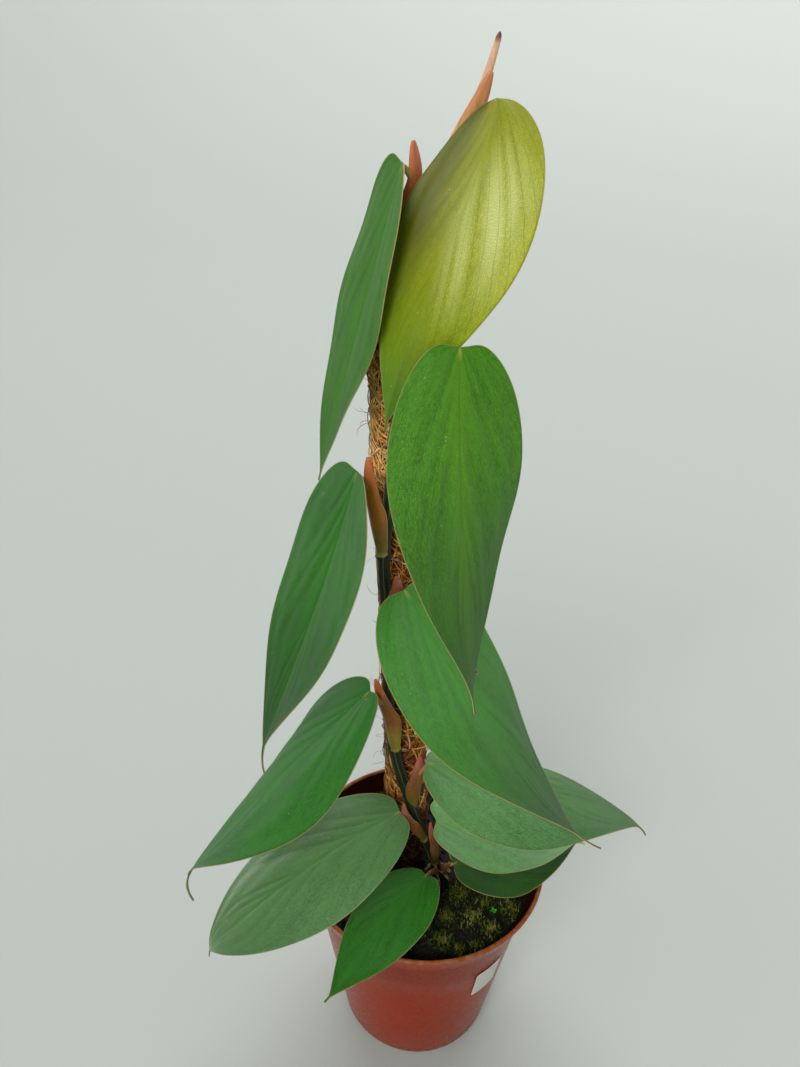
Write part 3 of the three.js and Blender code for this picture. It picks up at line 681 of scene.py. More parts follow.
def strands(name, routes, materials):
    """Thin tapering strands: each route is its points, its thickness and its material's number."""
    curve = bpy.data.curves.new(name, "CURVE")
    curve.dimensions = "3D"
    curve.bevel_depth = 0.5
    curve.bevel_resolution = 0
    curve.use_fill_caps = True
    for material in materials:
        curve.materials.append(material)
    for points, width, kind in routes:
        spline = curve.splines.new("POLY")
        spline.points.add(len(points) - 1)
        for i, point in enumerate(points):
            share = i / (len(points) - 1)
            spline.points[i].co = (*point, 1)
            spline.points[i].radius = width * (0.3 + 0.7 * math.sin(math.pi * share) ** 0.5)
        spline.material_index = kind
    holder = bpy.data.objects.new(name, curve)
    bpy.context.scene.collection.objects.link(holder)
    bpy.context.view_layer.update()
    graph = bpy.context.evaluated_depsgraph_get()
    mesh = bpy.data.meshes.new_from_object(holder.evaluated_get(graph))
    bpy.data.objects.remove(holder)
    bm = bmesh.new()
    bm.from_mesh(mesh)
    bmesh.ops.remove_doubles(bm, verts=bm.verts, dist=1e-5)
    return finished(name, bm, *materials)


def round_the_pole(turn, height, radius):
    """A point beside the leaning pole."""
    x, y = polar(radius, turn)
    return Vector((pole_x(height) + x, POLE_Y + y, height))


def fibre_kind(height):
    """Golden where the mat was rubbed open, reddish low down, and dark with painted shade near the soil."""
    if height < WET_TO + rng.uniform(-10, 10):
        return rng.choice((4, 4, 0))
    if GOLDEN_FROM < height < GOLDEN_TO:
        shares = (0.03, 0.12, 0.4, 0.45)
    else:
        shares = (0.25, 0.5, 0.2, 0.05) if height < REDDISH_TO else (0.15, 0.42, 0.33, 0.1)
    return rng.choices((0, 1, 2, 3), shares)[0]


def along_fibre(height, turn, slope, bend, length, steps, radius, top, stand_off):
    """The points of a fibre that lies round the pole at a radius: slope is its way up the mat,
    which bends along it, top its limit, and stand_off(share) how far out it stands."""
    points = []
    for i in range(steps + 1):
        from_middle = i / steps - 0.5
        way = slope + bend * from_middle
        at = height + length * from_middle * math.sin(way)
        round_it = turn + length * from_middle * math.cos(way) / radius
        points.append(round_the_pole(round_it, min(max(at, SOIL_LEVEL - 4), top), stand_off(i / steps)))
    return points


rng = random.Random(23)
routes = []
for _ in range(LAID_FIBRES):
    height = rng.uniform(SOIL_LEVEL - 3, COIR_TOP - 1)
    turn = rng.uniform(0, math.tau)
    slope = rng.gauss(math.pi / 2, 0.75)
    bend = rng.uniform(-0.9, 0.9)
    length = rng.uniform(9, 26)
    lift = rng.uniform(0.35, 1.0)
    points = along_fibre(
        height, turn, slope, bend, length, 6, COIR_RADIUS, COIR_TOP + 0.5,
        lambda share: COIR_RADIUS + lift + 0.1 - 0.8 * (2 * share - 1) ** 4,
    )
    routes.append((points, rng.uniform(0.3, 0.75), fibre_kind(height)))
for _ in range(LOOSE_FIBRES):
    is_golden = rng.random() < 0.45
    height = rng.uniform(GOLDEN_FROM, GOLDEN_TO) if is_golden else rng.uniform(SOIL_LEVEL, COIR_TOP - 2)
    turn = rng.uniform(0, math.tau)
    slope = rng.choice((-1, 1)) * rng.uniform(0.5, 1.5)
    bend = rng.uniform(-1.2, 1.2)
    length = rng.uniform(10, 30)
    lift = rng.uniform(0.6, 2.4)
    points = along_fibre(
        height, turn, slope, bend, length, 9, COIR_RADIUS + 1, COIR_TOP + 1,
        lambda share: COIR_RADIUS - 0.3 + (lift + 0.3) * math.sin(math.pi * share) ** 0.8,
    )
    routes.append((points, rng.uniform(0.28, 0.6), fibre_kind(height)))
for _ in range(STRAY_HAIRS):
    height = rng.uniform(SOIL_LEVEL + 10, COIR_TOP - 6)
    turn = rng.uniform(0, math.tau)
    reach = rng.uniform(2.5, 8)
    drop = rng.uniform(-9, 7)
    swing = rng.uniform(-0.9, 0.9)
    curl = rng.uniform(-2, 2)
    points = []
    for i in range(10):
        share = i / 9
        out = COIR_RADIUS - 0.5 + reach * math.sin(0.5 * math.pi * share)
        at = height + drop * share ** 1.5 + curl * math.sin(math.pi * share)
        points.append(round_the_pole(turn + swing * share ** 1.3, at, out))
    routes.append((points, rng.uniform(0.1, 0.18), rng.choice((0, 0, 1))))
fibres = strands(
    "coir_fibres", routes,
    [coconut_fibre(colour, name=f"coir_fibre_{i}") for i, colour in enumerate(FIBRE_COLOURS)],
)
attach(fibres, "root")


# Binding thread
# One thin brown thread wound up the mat in even turns, pulled tight so that it sinks in a little.

THREAD_WIDTH = 0.7
THREAD_PITCH = 17
THREAD_RADIUS = COIR_RADIUS + 0.45
THREAD_FROM, THREAD_TO = SOIL_LEVEL + 5, POLE_TOP - 6
THREAD_POINTS_PER_TURN = 30
THREAD_BROWN, THREAD_SHINE = "#2c1a0d", "#5b3a1c"

# Spun polyester: dark brown, with the shine of its twisted filaments.
spun_thread = made_of(
    clouded, (THREAD_BROWN, THREAD_SHINE), 1800, 2, roughness=0.45, relief=(0.5, 0.0002),
    name="spun_thread",
)
thread_turns = (THREAD_TO - THREAD_FROM) / THREAD_PITCH
points = []
for i in range(int(thread_turns * THREAD_POINTS_PER_TURN) + 1):
    turns = i / THREAD_POINTS_PER_TURN
    wander = 0.25 * noise.noise(Vector((turns * 2, 0, 0)))
    height = THREAD_FROM + THREAD_PITCH * turns + wander
    points.append(round_the_pole(math.tau * turns, height, THREAD_RADIUS))
thread = strands("thread_winding", [(points, THREAD_WIDTH, 0)], [spun_thread])
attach(thread, "root")
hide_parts("binding_thread")


# Stem
# One dark green stem climbs the front of the pole. It has pale corky ridges, a ringed node at
# each leaf, short aerial roots that hold the pole, and brown roots at its crown.

STEM_RADIUS = 2.4
STEM_FROM_POLE = 13.9
STEM_ROWS = 300
STEM_FOOT = [(10, 0, 62), (8.5, -3, 90), (5.5, -5.5, 107)]
# Height, and angle round the pole in degrees: 0 is to the right and -90 the front.
STEM_COURSE = [
    (121, -48), (141, -70), (173, -101), (200, -113), (240, -108),
    (275, -112), (300, -100), (330, -85), (365, -70), (402, -57),
]
STEM_NODES = [110, 123, 146, 181, 240, 279, 328, 392]
CROWN_CENTRE = (8, -4)
CROWN_ROOTS = 8
# How far inwards, sideways and down an aerial root has got.
ROOT_COURSE = [(1, 0, 0), (2.2, 2.6, 0.4), (4.2, 4.2, 1.6), (5.8, 5, 3.4)]
STEM_DARK, STEM_GREEN = "#0f160a", "#222e12"
CORK = "#8c8262"
ROOT_BROWN, ROOT_TAN = "#4a3424", "#b49a80"


def route_through(points, steps):
    """Evenly spaced points along the smooth curve that runs through the given ones."""
    points = [Vector(point) for point in points]
    padded = [2 * points[0] - points[1], *points, 2 * points[-1] - points[-2]]
    fine = []
    pieces = 24
    for a, b, c, d in zip(padded, padded[1:], padded[2:], padded[3:]):
        before, between, after = ((q - p).length ** 0.5 for p, q in ((a, b), (b, c), (c, d)))
        leaving = ((b - a) / before - (c - a) / (before + between) + (c - b) / between) * between
        arriving = ((c - b) / between - (d - b) / (between + after) + (d - c) / after) * between
        for i in range(pieces):
            t = i / pieces
            fine.append(
                b * (2 * t ** 3 - 3 * t ** 2 + 1) + leaving * (t ** 3 - 2 * t ** 2 + t)
                + c * (3 * t ** 2 - 2 * t ** 3) + arriving * (t ** 3 - t ** 2)
            )
    fine.append(points[-1])
    lengths = [0]
    for p, q in zip(fine, fine[1:]):
        lengths.append(lengths[-1] + (q - p).length)
    route, k = [], 0
    for i in range(steps + 1):
        wanted = lengths[-1] * i / steps
        while k < len(fine) - 2 and lengths[k + 1] < wanted:
            k += 1
        route.append(fine[k].lerp(fine[k + 1], (wanted - lengths[k]) / (lengths[k + 1] - lengths[k])))
    return route


def stations_along(route, outward):
    """Each point of a route with two axes square to it: across, and away as outward says."""
    stations = []
    for i, centre in enumerate(route):
        along = (route[min(i + 1, len(route) - 1)] - route[max(i - 1, 0)]).normalized()
        across = along.cross(outward(centre)).normalized()
        stations.append((centre, across, across.cross(along)))
    return stations


def swept(stations, columns, section):
    """A closed tube over the stations: section(turn, share) is the way out on their two axes."""
    rows = len(stations) - 1

    def place(u, v):
        centre, across, away = stations[round(v * rows)]
        a, b = section(math.tau * u, v)
        return centre + across * a + away * b

    return closed(shaped_grid(columns, rows, place))


def join(bm, part):
    """Adds one bmesh to another."""
    mesh = bpy.data.meshes.new("part")
    part.to_mesh(mesh)
    part.free()
    bm.from_mesh(mesh)
    bpy.data.meshes.remove(mesh)


def from_pole(point):
    """The level direction from the pole's middle to a point."""
    return Vector((point.x - pole_x(point.z), point.y - POLE_Y, 0)).normalized()


def stem_skin(add, place):
    """A living stem: dark waxy green, mottled, with pale corky lines along its ridges."""
    around = add("SeparateXYZ", [add("UVMap", uv_map="surface")]).outputs["X"]
    wander = add("TexNoise", {"Vector": place, "Scale": 90, "Detail": 3})
    turn = add("Math", [wander, 0.12, around], operation="MULTIPLY_ADD")
    ridge = add("Math", [turn, 0.125], operation="PINGPONG")
    cork_line = add("MapRange", [ridge, 0, 0.014, 0.5, 0])
    fine = add("TexNoise", {"Vector": place, "Scale": 900, "Detail": 3})
    return {
        "Base Color": [STEM_DARK, (wander, STEM_GREEN), (cork_line, CORK)], "Roughness": 0.5,
        "Normal": (fine, 0.3, 0.0003), "Specular IOR Level": 0.25,
    }


stem_points = STEM_FOOT + [
    round_the_pole(math.radians(angle), height, STEM_FROM_POLE) for height, angle in STEM_COURSE
]
stem_route = route_through(stem_points, STEM_ROWS)


def stem_section(turn, share):
    """Thicker and ringed at each node, ridged, thin below the soil and closed at its top."""
    height = stem_route[round(share * STEM_ROWS)].z
    swell = max(math.exp(-((height - node) / 3.2) ** 2) for node in STEM_NODES)
    ring = max(math.exp(-((height - node + 1) / 0.7) ** 2) for node in STEM_NODES)
    rooted = min(1, (height - STEM_FOOT[0][2]) / (SOIL_LEVEL - STEM_FOOT[0][2]))
    closing = min(1, 0.3 + (STEM_COURSE[-1][0] - height) / 5)
    ridges = 1 + 0.05 * math.cos(4 * turn + height / 25)
    radius = STEM_RADIUS * (0.55 + 0.45 * rooted) * closing * ridges + 0.45 * swell + 0.3 * ring
    return polar(radius, turn)


bm = swept(stations_along(stem_route, from_pole), 24, stem_section)
stem = finished("stem_shoot", bm, made_of(stem_skin))
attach(stem, "root")
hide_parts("stem")

rng = random.Random(31)
bm = bmesh.new()


def add_root(points, width, seed):
    """A knobbly root along its points, tapering to its end."""
    def section(turn, share):
        knob = 1 + 0.3 * noise.noise(Vector((share * 9, seed, math.cos(turn))))
        return polar(width / 2 * (1 - 0.6 * share) * knob, turn)

    stations = stations_along(route_through(points, 22), lambda point: Vector((0.13, 0.2, 1)))
    join(bm, swept(stations, 8, section))


for i in range(CROWN_ROOTS):
    turn = 0.7 + math.tau * i / CROWN_ROOTS
    reach = rng.uniform(6, 9.5)
    rise = SOIL_LEVEL + rng.uniform(2.5, 5)
    points = []
    for away, veer, height in (
        (0.6, 0, rise), (0.35 * reach, 0, rise + 0.8),
        (0.75 * reach, 0.2, SOIL_LEVEL + 1.5), (reach, 0.3, SOIL_LEVEL - 4),
    ):
        x, y = polar(away, turn + veer)
        points.append((CROWN_CENTRE[0] + x, CROWN_CENTRE[1] + y, height))
    add_root(points, rng.uniform(2.0, 3.1), 3.7 * i)
for i, node in enumerate(STEM_NODES[2:]):
    start = min(stem_route, key=lambda point: abs(point.z - node + 2.5))
    inward = -from_pole(start)
    sideways = Vector((-inward.y, inward.x, 0)) * (-1) ** i
    points = [start + inward * deep + sideways * b - Vector((0, 0, c)) for deep, b, c in ROOT_COURSE]
    add_root(points, 1.5, 5.3 * i + 1)
    nub = [start - sideways * 1.6, start - sideways * 3.2, start - sideways * 3.9 + Vector((0, 0, 0.5))]
    add_root(nub, 1.3, 2.9 * i + 2)
# A dry aerial root: brown and tan in patches, scurfy and matt.
root_bark = made_of(
    clouded, (ROOT_BROWN, ROOT_TAN), 500, 4, roughness=0.85, relief=(0.6, 0.0005), between=(0.4, 0.65),
    name="root_bark",
)
roots = finished("stem_roots", bm, root_bark)
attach(roots, "root")


# Leaves
# Eleven heart-based, lance-shaped blades, each a thin curved sheet on its midrib, with arching
# side veins, a thin pale margin and a narrow tip. Ten are mature and green; the top one is new.

# base is where blade and stalk meet. heading, pitch and roll are degrees at the blade's base and
# at its tip: the way that the midrib runs seen from above, its slope, and its turn about itself.
# drip is the narrow tip's length with the turn of its heading and of its pitch. fold is how far the
# halves rise from the midrib, in degrees, and arch how much they curve down again. lobe, shoulder
# and taper form the outline: how far the base reaches back, how full it is and how the tip narrows.
# furrow is the depth of the side veins' furrows. bloom is how dusty the blade is, tip_fade how deep the
# painted shade at its end, and skin its dark, light and midrib greens. These greens are partly painted
# light: each blade's greens are lighter or darker with the light on it, and the pale bluish greens of the
# low, upturned blades are a painted sheen. hole is a bite's side and share of the length.
# stalk lists the points that the leaf stalk runs through, stalk_faces the way its flat side looks,
# and stalk_colours its foot, middle and end, with stalk_edge for the edges of its wings.
LEAVES = [
    dict(
        base=(2.5, -23.5, 116.5), length=70, width=31, heading=(235, 227), pitch=(2, -35),
        roll=(5, -17), fold=7, arch=0.16, drip=(3, -9, 3), bloom=0.12, tip_fade=0,
        stalk=[(6.5, -6, 100), (5.5, -12, 106), (4, -18, 112.5), (3.5, -20, 115)], stalk_width=4.4,
        skin=("#1e6101", "#2e8606", "#2b8305"), stalk_colours=("#5a4a16", "#7a4a22", "#8a4a34"),
    ),
    dict(
        base=(15, -11.5, 111), length=76, width=43, heading=(18, 26), pitch=(6, -11),
        roll=(8, 4), fold=8, arch=0.19, drip=(7, 0, 0), bloom=0.08,
        stalk=[(9, -3.5, 99), (11, -7.5, 104), (12.6, -10, 109), (12.8, -11, 111.5)], stalk_width=4.4,
        skin=("#194a04", "#2f670d", "#357108"), stalk_colours=("#4f4216", "#6b4422", "#844a34"),
    ),
    # This blade's pale bluish greens, and those of the next two blades, are partly a painted sheen.
    dict(
        base=(5.5, -11.5, 138.5), length=84, width=43, heading=(9, 22), pitch=(-11, -27),
        roll=(6, 2), fold=6, arch=0.2, lobe=0.06, drip=(6, -1, -1), bloom=0.75,
        stalk=[(5.5, -7, 106), (6, -10.5, 118), (3.5, -13, 132), (2.6, -13, 139.5)], stalk_width=5,
        skin=("#468834", "#6dba53", "#68ba46"), stalk_colours=("#3f3414", "#6b4424", "#a0523c"),
    ),
    dict(
        base=(-11.5, -16.5, 148.5), length=110, width=48, heading=(217, 198), pitch=(-1, -45),
        roll=(-14, -23), fold=5, arch=0.29, taper=0.85, drip=(4, -1, -45), dry_tip=True,
        bloom=0.75, tip_fade=0,
        stalk=[(0.2, -8, 123), (-5, -13, 136), (-9.3, -15.5, 147.5), (-10, -15.5, 153)], stalk_width=5,
        skin=("#356c26", "#58953e", "#4b8d2f"), stalk_colours=("#6b5a18", "#8a5226", "#a55a40"),
    ),
    dict(
        base=(-0.5, -14, 177), length=106, width=51, heading=(-5, 2), pitch=(-6, -20),
        roll=(-7, 11), fold=0, arch=0.37, drip=(6, -9, -44), dry_tip=True, bloom=0.22, tip_fade=0.5,
        stalk=[(-6.2, -9, 146), (-5.6, -12, 160), (-4.4, -13, 173), (-3.8, -13, 179.5)], stalk_width=7.2,
        skin=("#3f7833", "#65a552", "#5fa141"), stalk_colours=("#6f6212", "#7d4c1c", "#b0564a"),
    ),
    dict(
        base=(-25.5, -21, 221), length=144, width=58, heading=(202, 183), pitch=(-41, -56),
        roll=(-11, 26), fold=12, arch=0.47, lobe=0.04, shoulder=0.7, drip=(17, -9, -60), bloom=0.1,
        stalk=[(-15, -10, 180.5), (-17.3, -13, 200), (-21.8, -17, 217), (-23.6, -18, 225)], stalk_width=7.6,
        skin=("#185e07", "#2a820e", "#247e0b"), stalk_colours=("#8f7c10", "#8e5210", "#bc5c24"),
    ),
    dict(
        base=(-13.5, -16, 268), length=138, width=59, heading=(-31, -6), pitch=(-51, -49),
        roll=(16, -11), fold=3, arch=0.14, drip=(13, 5, 27), hole=(0.34, 0.33), dry_tip=True,
        bloom=0.15, tip_fade=0.75, stalk_width=7.4,
        stalk=[(-19.3, -9.4, 240), (-18.4, -13.2, 256), (-16.3, -14.5, 267.5), (-16.7, -14.2, 273)],
        skin=("#2e7715", "#4da325", "#45a41f"), stalk_colours=("#6f5516", "#84421e", "#8c4a30"),
    ),
    dict(
        base=(-32, -15, 316.5), length=139, width=48, heading=(202, 215), pitch=(-76, -66),
        roll=(-13, -12), fold=17, arch=0.18, drip=(15, 6, -35), bloom=0.12, tip_fade=0.5, stalk_width=7.4,
        stalk=[(-22.6, -9.5, 279.5), (-25.3, -12.5, 299), (-27.8, -14, 314.5), (-28.3, -14, 322)],
        skin=("#1d5f0d", "#338316", "#31870e"), stalk_colours=("#766410", "#b06c16", "#c06c38"),
    ),
    dict(
        base=(2, -36.5, 369.5), length=127, width=44, heading=(-86, -26), pitch=(-71, -82),
        roll=(4, -10), fold=1, arch=0.19, drip=(5, 2, 6), dry_tip=True, bloom=0.1, tip_fade=0.4,
        stalk=[(-18, -10, 328), (-10, -16.5, 344), (-2, -28, 362), (0.3, -32.5, 372.5)], stalk_width=6.4,
        skin=("#39760a", "#5aa213", "#6cab0d"), stalk_colours=("#6f5516", "#8a4a22", "#a8523c"),
    ),
    dict(
        base=(-19, -9.5, 418.5), length=118, width=51, heading=(154, 167), pitch=(-73, -75),
        roll=(-43, -38), fold=15, arch=0.2, furrow=0.2, drip=(3, 0, -1), bloom=0.04, tip_fade=0,
        stalk=[(-17.5, -5.5, 392), (-18.5, -4, 403), (-15.5, -5, 414), (-16.3, -6, 425)], stalk_width=7.4,
        skin=("#2b6901", "#489101", "#4c9301"), stalk_colours=("#6a3a0c", "#a05420", "#cf7650"),
        stalk_edge="#6e2a1c",
    ),
    dict(
        base=(8.2, -10.5, 437), length=109, width=42, heading=(-96, -227), pitch=(-53, -76),
        roll=(17, -113), fold=-13, arch=0.05, furrow=0.26, lobe=0.01, shoulder=0.54, drip=(4, 0, -3),
        is_new=True, bloom=0, stalk_width=8, stalk_faces=(0.35, -1, 0),
        stalk=[(-15, -7, 400), (-8, -5, 413), (-1, -4.6, 427), (3.6, -6, 437), (6.2, -6.6, 444)],
        skin=("#969b00", "#c4c600", "#979e00"), stalk_colours=("#a4703c", "#dfa26a", "#c98450"),
        stalk_edge="#93401e",
    ),
]
MIDRIB_STEPS = 60
SHOULDER_FORM, TAPER, FULLNESS = 0.5, 1.25, 1.5
# The last is the usual depth of the painted shade at a blade's end.
LOBE, FURROW_DEPTH, TIP_FADE = 0.03, 0.42, 0.15
TAIL_WIDTH = 2.2
BLADE_ROWS, BLADE_COLUMNS = 120, 56
BLADE_THICKNESS = 0.7
THIN_SHARE = 0.4
VEIN_REACH, VEIN_BEND, VEIN_GAP = 0.62, 0.75, 0.19
CELL_LENGTH, CELL_WIDTH = 3.4, 1.1
BASE_YELLOW = "#b3a92e"
# The first green colours the finest veins and also gives the painted shade towards a mature blade's tip;
# the second is the new leaf's vein green.
TIP_GREEN, NEW_VEIN_GREEN = "#12300c", "#465c00"
# The new leaf's olive is painted shade and its pale yellow a painted highlight; its tip green is its own.
NEW_OLIVE, NEW_SILK, NEW_TIP_GREEN = "#4e5000", "#e3e892", "#468802"
MARGIN_CREAM, MARGIN_ROSE = "#bdb46e", "#94663e"
DUST, DUST_SHEEN = "#a9bd9c", "#e3ecdf"
HOLE_RING, HOLE_DARK = "#b3924a", "#140f08"
DRY_BROWN = "#4a2c16"


def mix(a, b, share):
    return a + (b - a) * share


def midrib_of(leaf):
    """Places, directions and axes along a blade's midrib, from its base to its tip."""
    drip, drip_heading, drip_pitch = leaf["drip"]
    drip_start = 1 - drip / leaf["length"] - 0.06
    place = Vector(leaf["base"])
    stations = []
    for i in range(MIDRIB_STEPS + 1):
        share = i / MIDRIB_STEPS
        settled = 1 - (1 - share) ** 1.5
        in_drip = max(0, (share - drip_start) / (1 - drip_start)) ** 1.3
        heading = math.radians(mix(*leaf["heading"], share) + drip_heading * in_drip)
        pitch = math.radians(mix(*leaf["pitch"], settled) + drip_pitch * in_drip)
        roll = math.radians(mix(*leaf["roll"], share))
        along = Vector((*polar(math.cos(pitch), heading), math.sin(pitch)))
        level = Vector((-math.sin(heading), math.cos(heading), 0))
        across = level * math.cos(roll) + along.cross(level) * math.sin(roll)
        if stations:
            place = place + (stations[-1][1] + along) * (leaf["length"] / MIDRIB_STEPS / 2)
        stations.append((place, along, across, along.cross(across)))
    return stations


def on_midrib(stations, share):
    """The midrib's place and axes at a share of its length."""
    at = min(max(share, 0), 1) * MIDRIB_STEPS
    i = min(int(at), MIDRIB_STEPS - 1)
    return [a.lerp(b, at - i) for a, b in zip(stations[i], stations[i + 1])]


def half_width(leaf, share):
    """Half the blade's width: full near its heart-shaped base, with a narrow tail at its tip."""
    shoulder = leaf.get("shoulder", SHOULDER_FORM)
    taper = leaf.get("taper", TAPER)
    whole = shoulder + taper * FULLNESS
    widest = (shoulder / whole) ** (shoulder / FULLNESS) * (taper * FULLNESS / whole) ** taper
    part = min(1, share / (1 - leaf["drip"][0] / leaf["length"]))
    body = part ** shoulder * (1 - part ** FULLNESS) ** taper / widest
    tail = math.sqrt(1 - share ** 6) * (1 - math.exp(-share / 0.05))
    return max(0.5, leaf["width"] / 2 * body + TAIL_WIDTH / 2 * tail)


def vein_band(share, side):
    """How high the skin stands between its side veins: 0 in a vein's furrow and 1 between two.

    Each furrow leaves the midrib at a sharp angle and bends out to the margin. They fade there
    and towards the tip, and the two halves' furrows don't meet.
    """
    edge = abs(side)
    course = share - VEIN_REACH * edge ** VEIN_BEND
    wander = 0.28 * math.sin(13 * course + 2 * (side > 0)) + 0.45 * (side > 0)
    furrow = abs(math.sin(math.pi * (course / VEIN_GAP + wander)))
    fade = (1 - edge ** 3) * min(1, 3 * (1 - share)) * min(1, 8 * edge)
    return 1 - fade * math.exp(-(furrow / 0.55) ** 2)


def blade_point(leaf, phase, stations, share, side):
    """A point of the blade's middle surface, share from base to tip and side from -1 to 1."""
    edge = abs(side)
    notch = 1 - math.exp(-share / 0.012)
    back = leaf.get("lobe", LOBE) * math.exp(-(share / 0.22) ** 1.5) * edge ** 1.2 * notch
    along = share - back
    place, direction, across_axis, up_axis = on_midrib(stations, along)
    half = half_width(leaf, share)
    breadth = half / (leaf["width"] / 2)
    across = half * side
    rib = 0.25 * math.cos(6 * math.pi * edge) * breadth * edge
    wave = 0.7 * math.sin(15 * share + phase + 1.3 * side) * edge ** 2 * breadth
    bow = leaf["arch"] * across ** 2 / (leaf["width"] / 2)
    groove = 0.2 * math.exp(-(across / 0.8) ** 2) * breadth
    furrow = leaf.get("furrow", FURROW_DEPTH) * (1 - vein_band(share, side)) * breadth
    lift = math.sin(math.radians(leaf["fold"])) * abs(across) - bow + rib + wave - groove - furrow
    place = place + direction * (min(0, along) * leaf["length"])
    return place + across_axis * (across * math.cos(math.radians(leaf["fold"]))) + up_axis * lift


def leaf_skin(add, place, leaf):
    """A leaf's upper skin: velvety from tiny cells, so that it shines softly and pale. It has painted shade
    in the veins' furrows and towards its tip, is crazed by the finest veins, and is yellow where it joins
    its stalk."""
    is_new = leaf.get("is_new", False)
    dark, light, midrib = leaf["skin"]
    parts = add("SeparateXYZ", [add("UVMap", uv_map="surface")])
    share = parts.outputs["Y"]
    side = add("Math", [parts.outputs["X"], 2, -1], operation="MULTIPLY_ADD")
    edge = add("Math", [side], operation="ABSOLUTE")
    margin = add("Attribute", attribute_name="to_margin").outputs["Fac"]
    band = add("Attribute", attribute_name="vein_band").outputs["Fac"]
    cloud = add("TexNoise", {"Vector": place, "Scale": 42, "Detail": 4})
    mottle = add("TexNoise", {"Vector": place, "Scale": 210, "Detail": 3})
    grain = add("TexNoise", {"Vector": place, "Scale": 950, "Detail": 3, "Roughness": 0.6})

    def away_from(across, along, scales):
        """How far the skin is from a spot of it, with its side and share on these scales."""
        away = add("CombineXYZ", [side, share])
        away = add("VectorMath", [away, (-across, -along, 0)], operation="ADD")
        away = add("VectorMath", [away, (*scales, 0)], operation="MULTIPLY")
        return add("VectorMath", [away], operation="LENGTH").outputs["Value"]

    # Cells of about 2 by 1.5 mm between the finest veins, which run with the side veins.
    bend = add("Math", [edge, VEIN_BEND], operation="POWER")
    course = add("Math", [bend, -VEIN_REACH, share], operation="MULTIPLY_ADD")
    wander = add("Math", [cloud, 0.1, course], operation="MULTIPLY_ADD")
    column = add("Math", [wander, leaf["length"] / CELL_LENGTH], operation="MULTIPLY")
    row = add("Math", [side, leaf["width"] / 2 / CELL_WIDTH], operation="MULTIPLY")
    cells = {"Vector": add("CombineXYZ", [column, row]), "Randomness": 0.6}
    cell = add("TexVoronoi", cells, feature="DISTANCE_TO_EDGE", voronoi_dimensions="2D")
    net = add("MapRange", [cell, 0, 0.26, 1, 0])
    cell = add("TexVoronoi", cells, voronoi_dimensions="2D")
    cell_tone = add("SeparateColor", [cell.outputs["Color"]])
    line = add("Math", [column, 1.5], operation="PINGPONG")
    line = add("MapRange", [line, 0, 0.16, 1, 0])

    # The tone is lighter between the side veins and darker in their furrows and towards the tip, which is
    # painted shade, and differs at random besides.
    tone = cloud
    for pattern, weight in ((mottle, 0.4), (band, 0.4), (grain, 0.9), (cell_tone, 1.2), (share, -0.45)):
        tone = add("Math", [pattern, weight, tone], operation="MULTIPLY_ADD")
    coats = [
        (add("MapRange", [tone, 1.15, 2.4, 0, 1]), light),
        (add("MapRange", [edge, 0.02, 0.3, 0.55, 0]), midrib),
    ]
    if is_new:
        # The new leaf has painted shade in olive on one side and at its top, and is green at its end. A
        # pale painted highlight lies across it as a band, broken by the furrows of the side veins.
        shaded = add("MapRange", [side, 0.2, -0.6, 0, 0.9])
        high = add("MapRange", [share, 0.4, 0.8, 1, 0.2])
        shaded = add("Math", [shaded, high], operation="MULTIPLY")
        top = add("MapRange", [share, 0.05, 0.35, 0.4, 0])
        silk = add("MapRange", [away_from(0.42, 0.35, (1.7, 3.4)), 0.1, 1, 0.85, 0])
        coats += [
            (add("Math", [shaded, top], operation="MAXIMUM"), NEW_OLIVE),
            (add("Math", [silk, band], operation="MULTIPLY"), NEW_SILK),
            (add("MapRange", [share, 0.45, 0.9, 0, 0.9]), NEW_TIP_GREEN),
        ]
    else:
        # Painted shade darkens the blade towards its tip.
        coats.append((add("MapRange", [share, 0.3, 0.85, 0, leaf.get("tip_fade", TIP_FADE)]), TIP_GREEN))
    for pattern, depth in ((line, 0.4 if is_new else 0.32), (net, 0.6)):
        shown = add("Math", [pattern, depth], operation="MULTIPLY")
        coats.append((shown, NEW_VEIN_GREEN if is_new else TIP_GREEN))
    rib = add("MapRange", [edge, 0.002, 0.022, 0.5, 0])
    high = add("MapRange", [share, 0.2, 0.7, 1, 0])
    fleck = add("TexVoronoi", {"Vector": place, "Scale": 260})
    is_fleck = add("MapRange", [fleck, 0.06, 0.1, 0.45, 0])
    rare = add("Math", [add("SeparateColor", [fleck.outputs["Color"]]), 0.8], operation="GREATER_THAN")
    coats += [
        (add("Math", [rib, high], operation="MULTIPLY"), dark),
        (add("MapRange", [away_from(0, 0, (11, 45)), 0.2, 1.6, 0.15 if is_new else 0.85, 0]), BASE_YELLOW),
        (add("Math", [is_fleck, rare], operation="MULTIPLY"), DUST),
    ]
    if "hole" in leaf:
        away = away_from(*leaf["hole"], (leaf["width"] / 2, leaf["length"]))
        coats += [
            (add("MapRange", [away, 0.9, 1.2, 1, 0]), HOLE_RING),
            (add("MapRange", [away, 0.6, 0.75, 1, 0]), HOLE_DARK),
        ]
    rim_colour = add("Mix", {0: cloud, 6: MARGIN_CREAM, 7: MARGIN_ROSE}, data_type="RGBA")
    coats.append((add("MapRange", [margin, 0.1, 0.38, 0.62, 0]), rim_colour))
    if leaf.get("dry_tip"):
        coats.append((add("MapRange", [share, 0.95, 0.975, 0, 1]), DRY_BROWN))

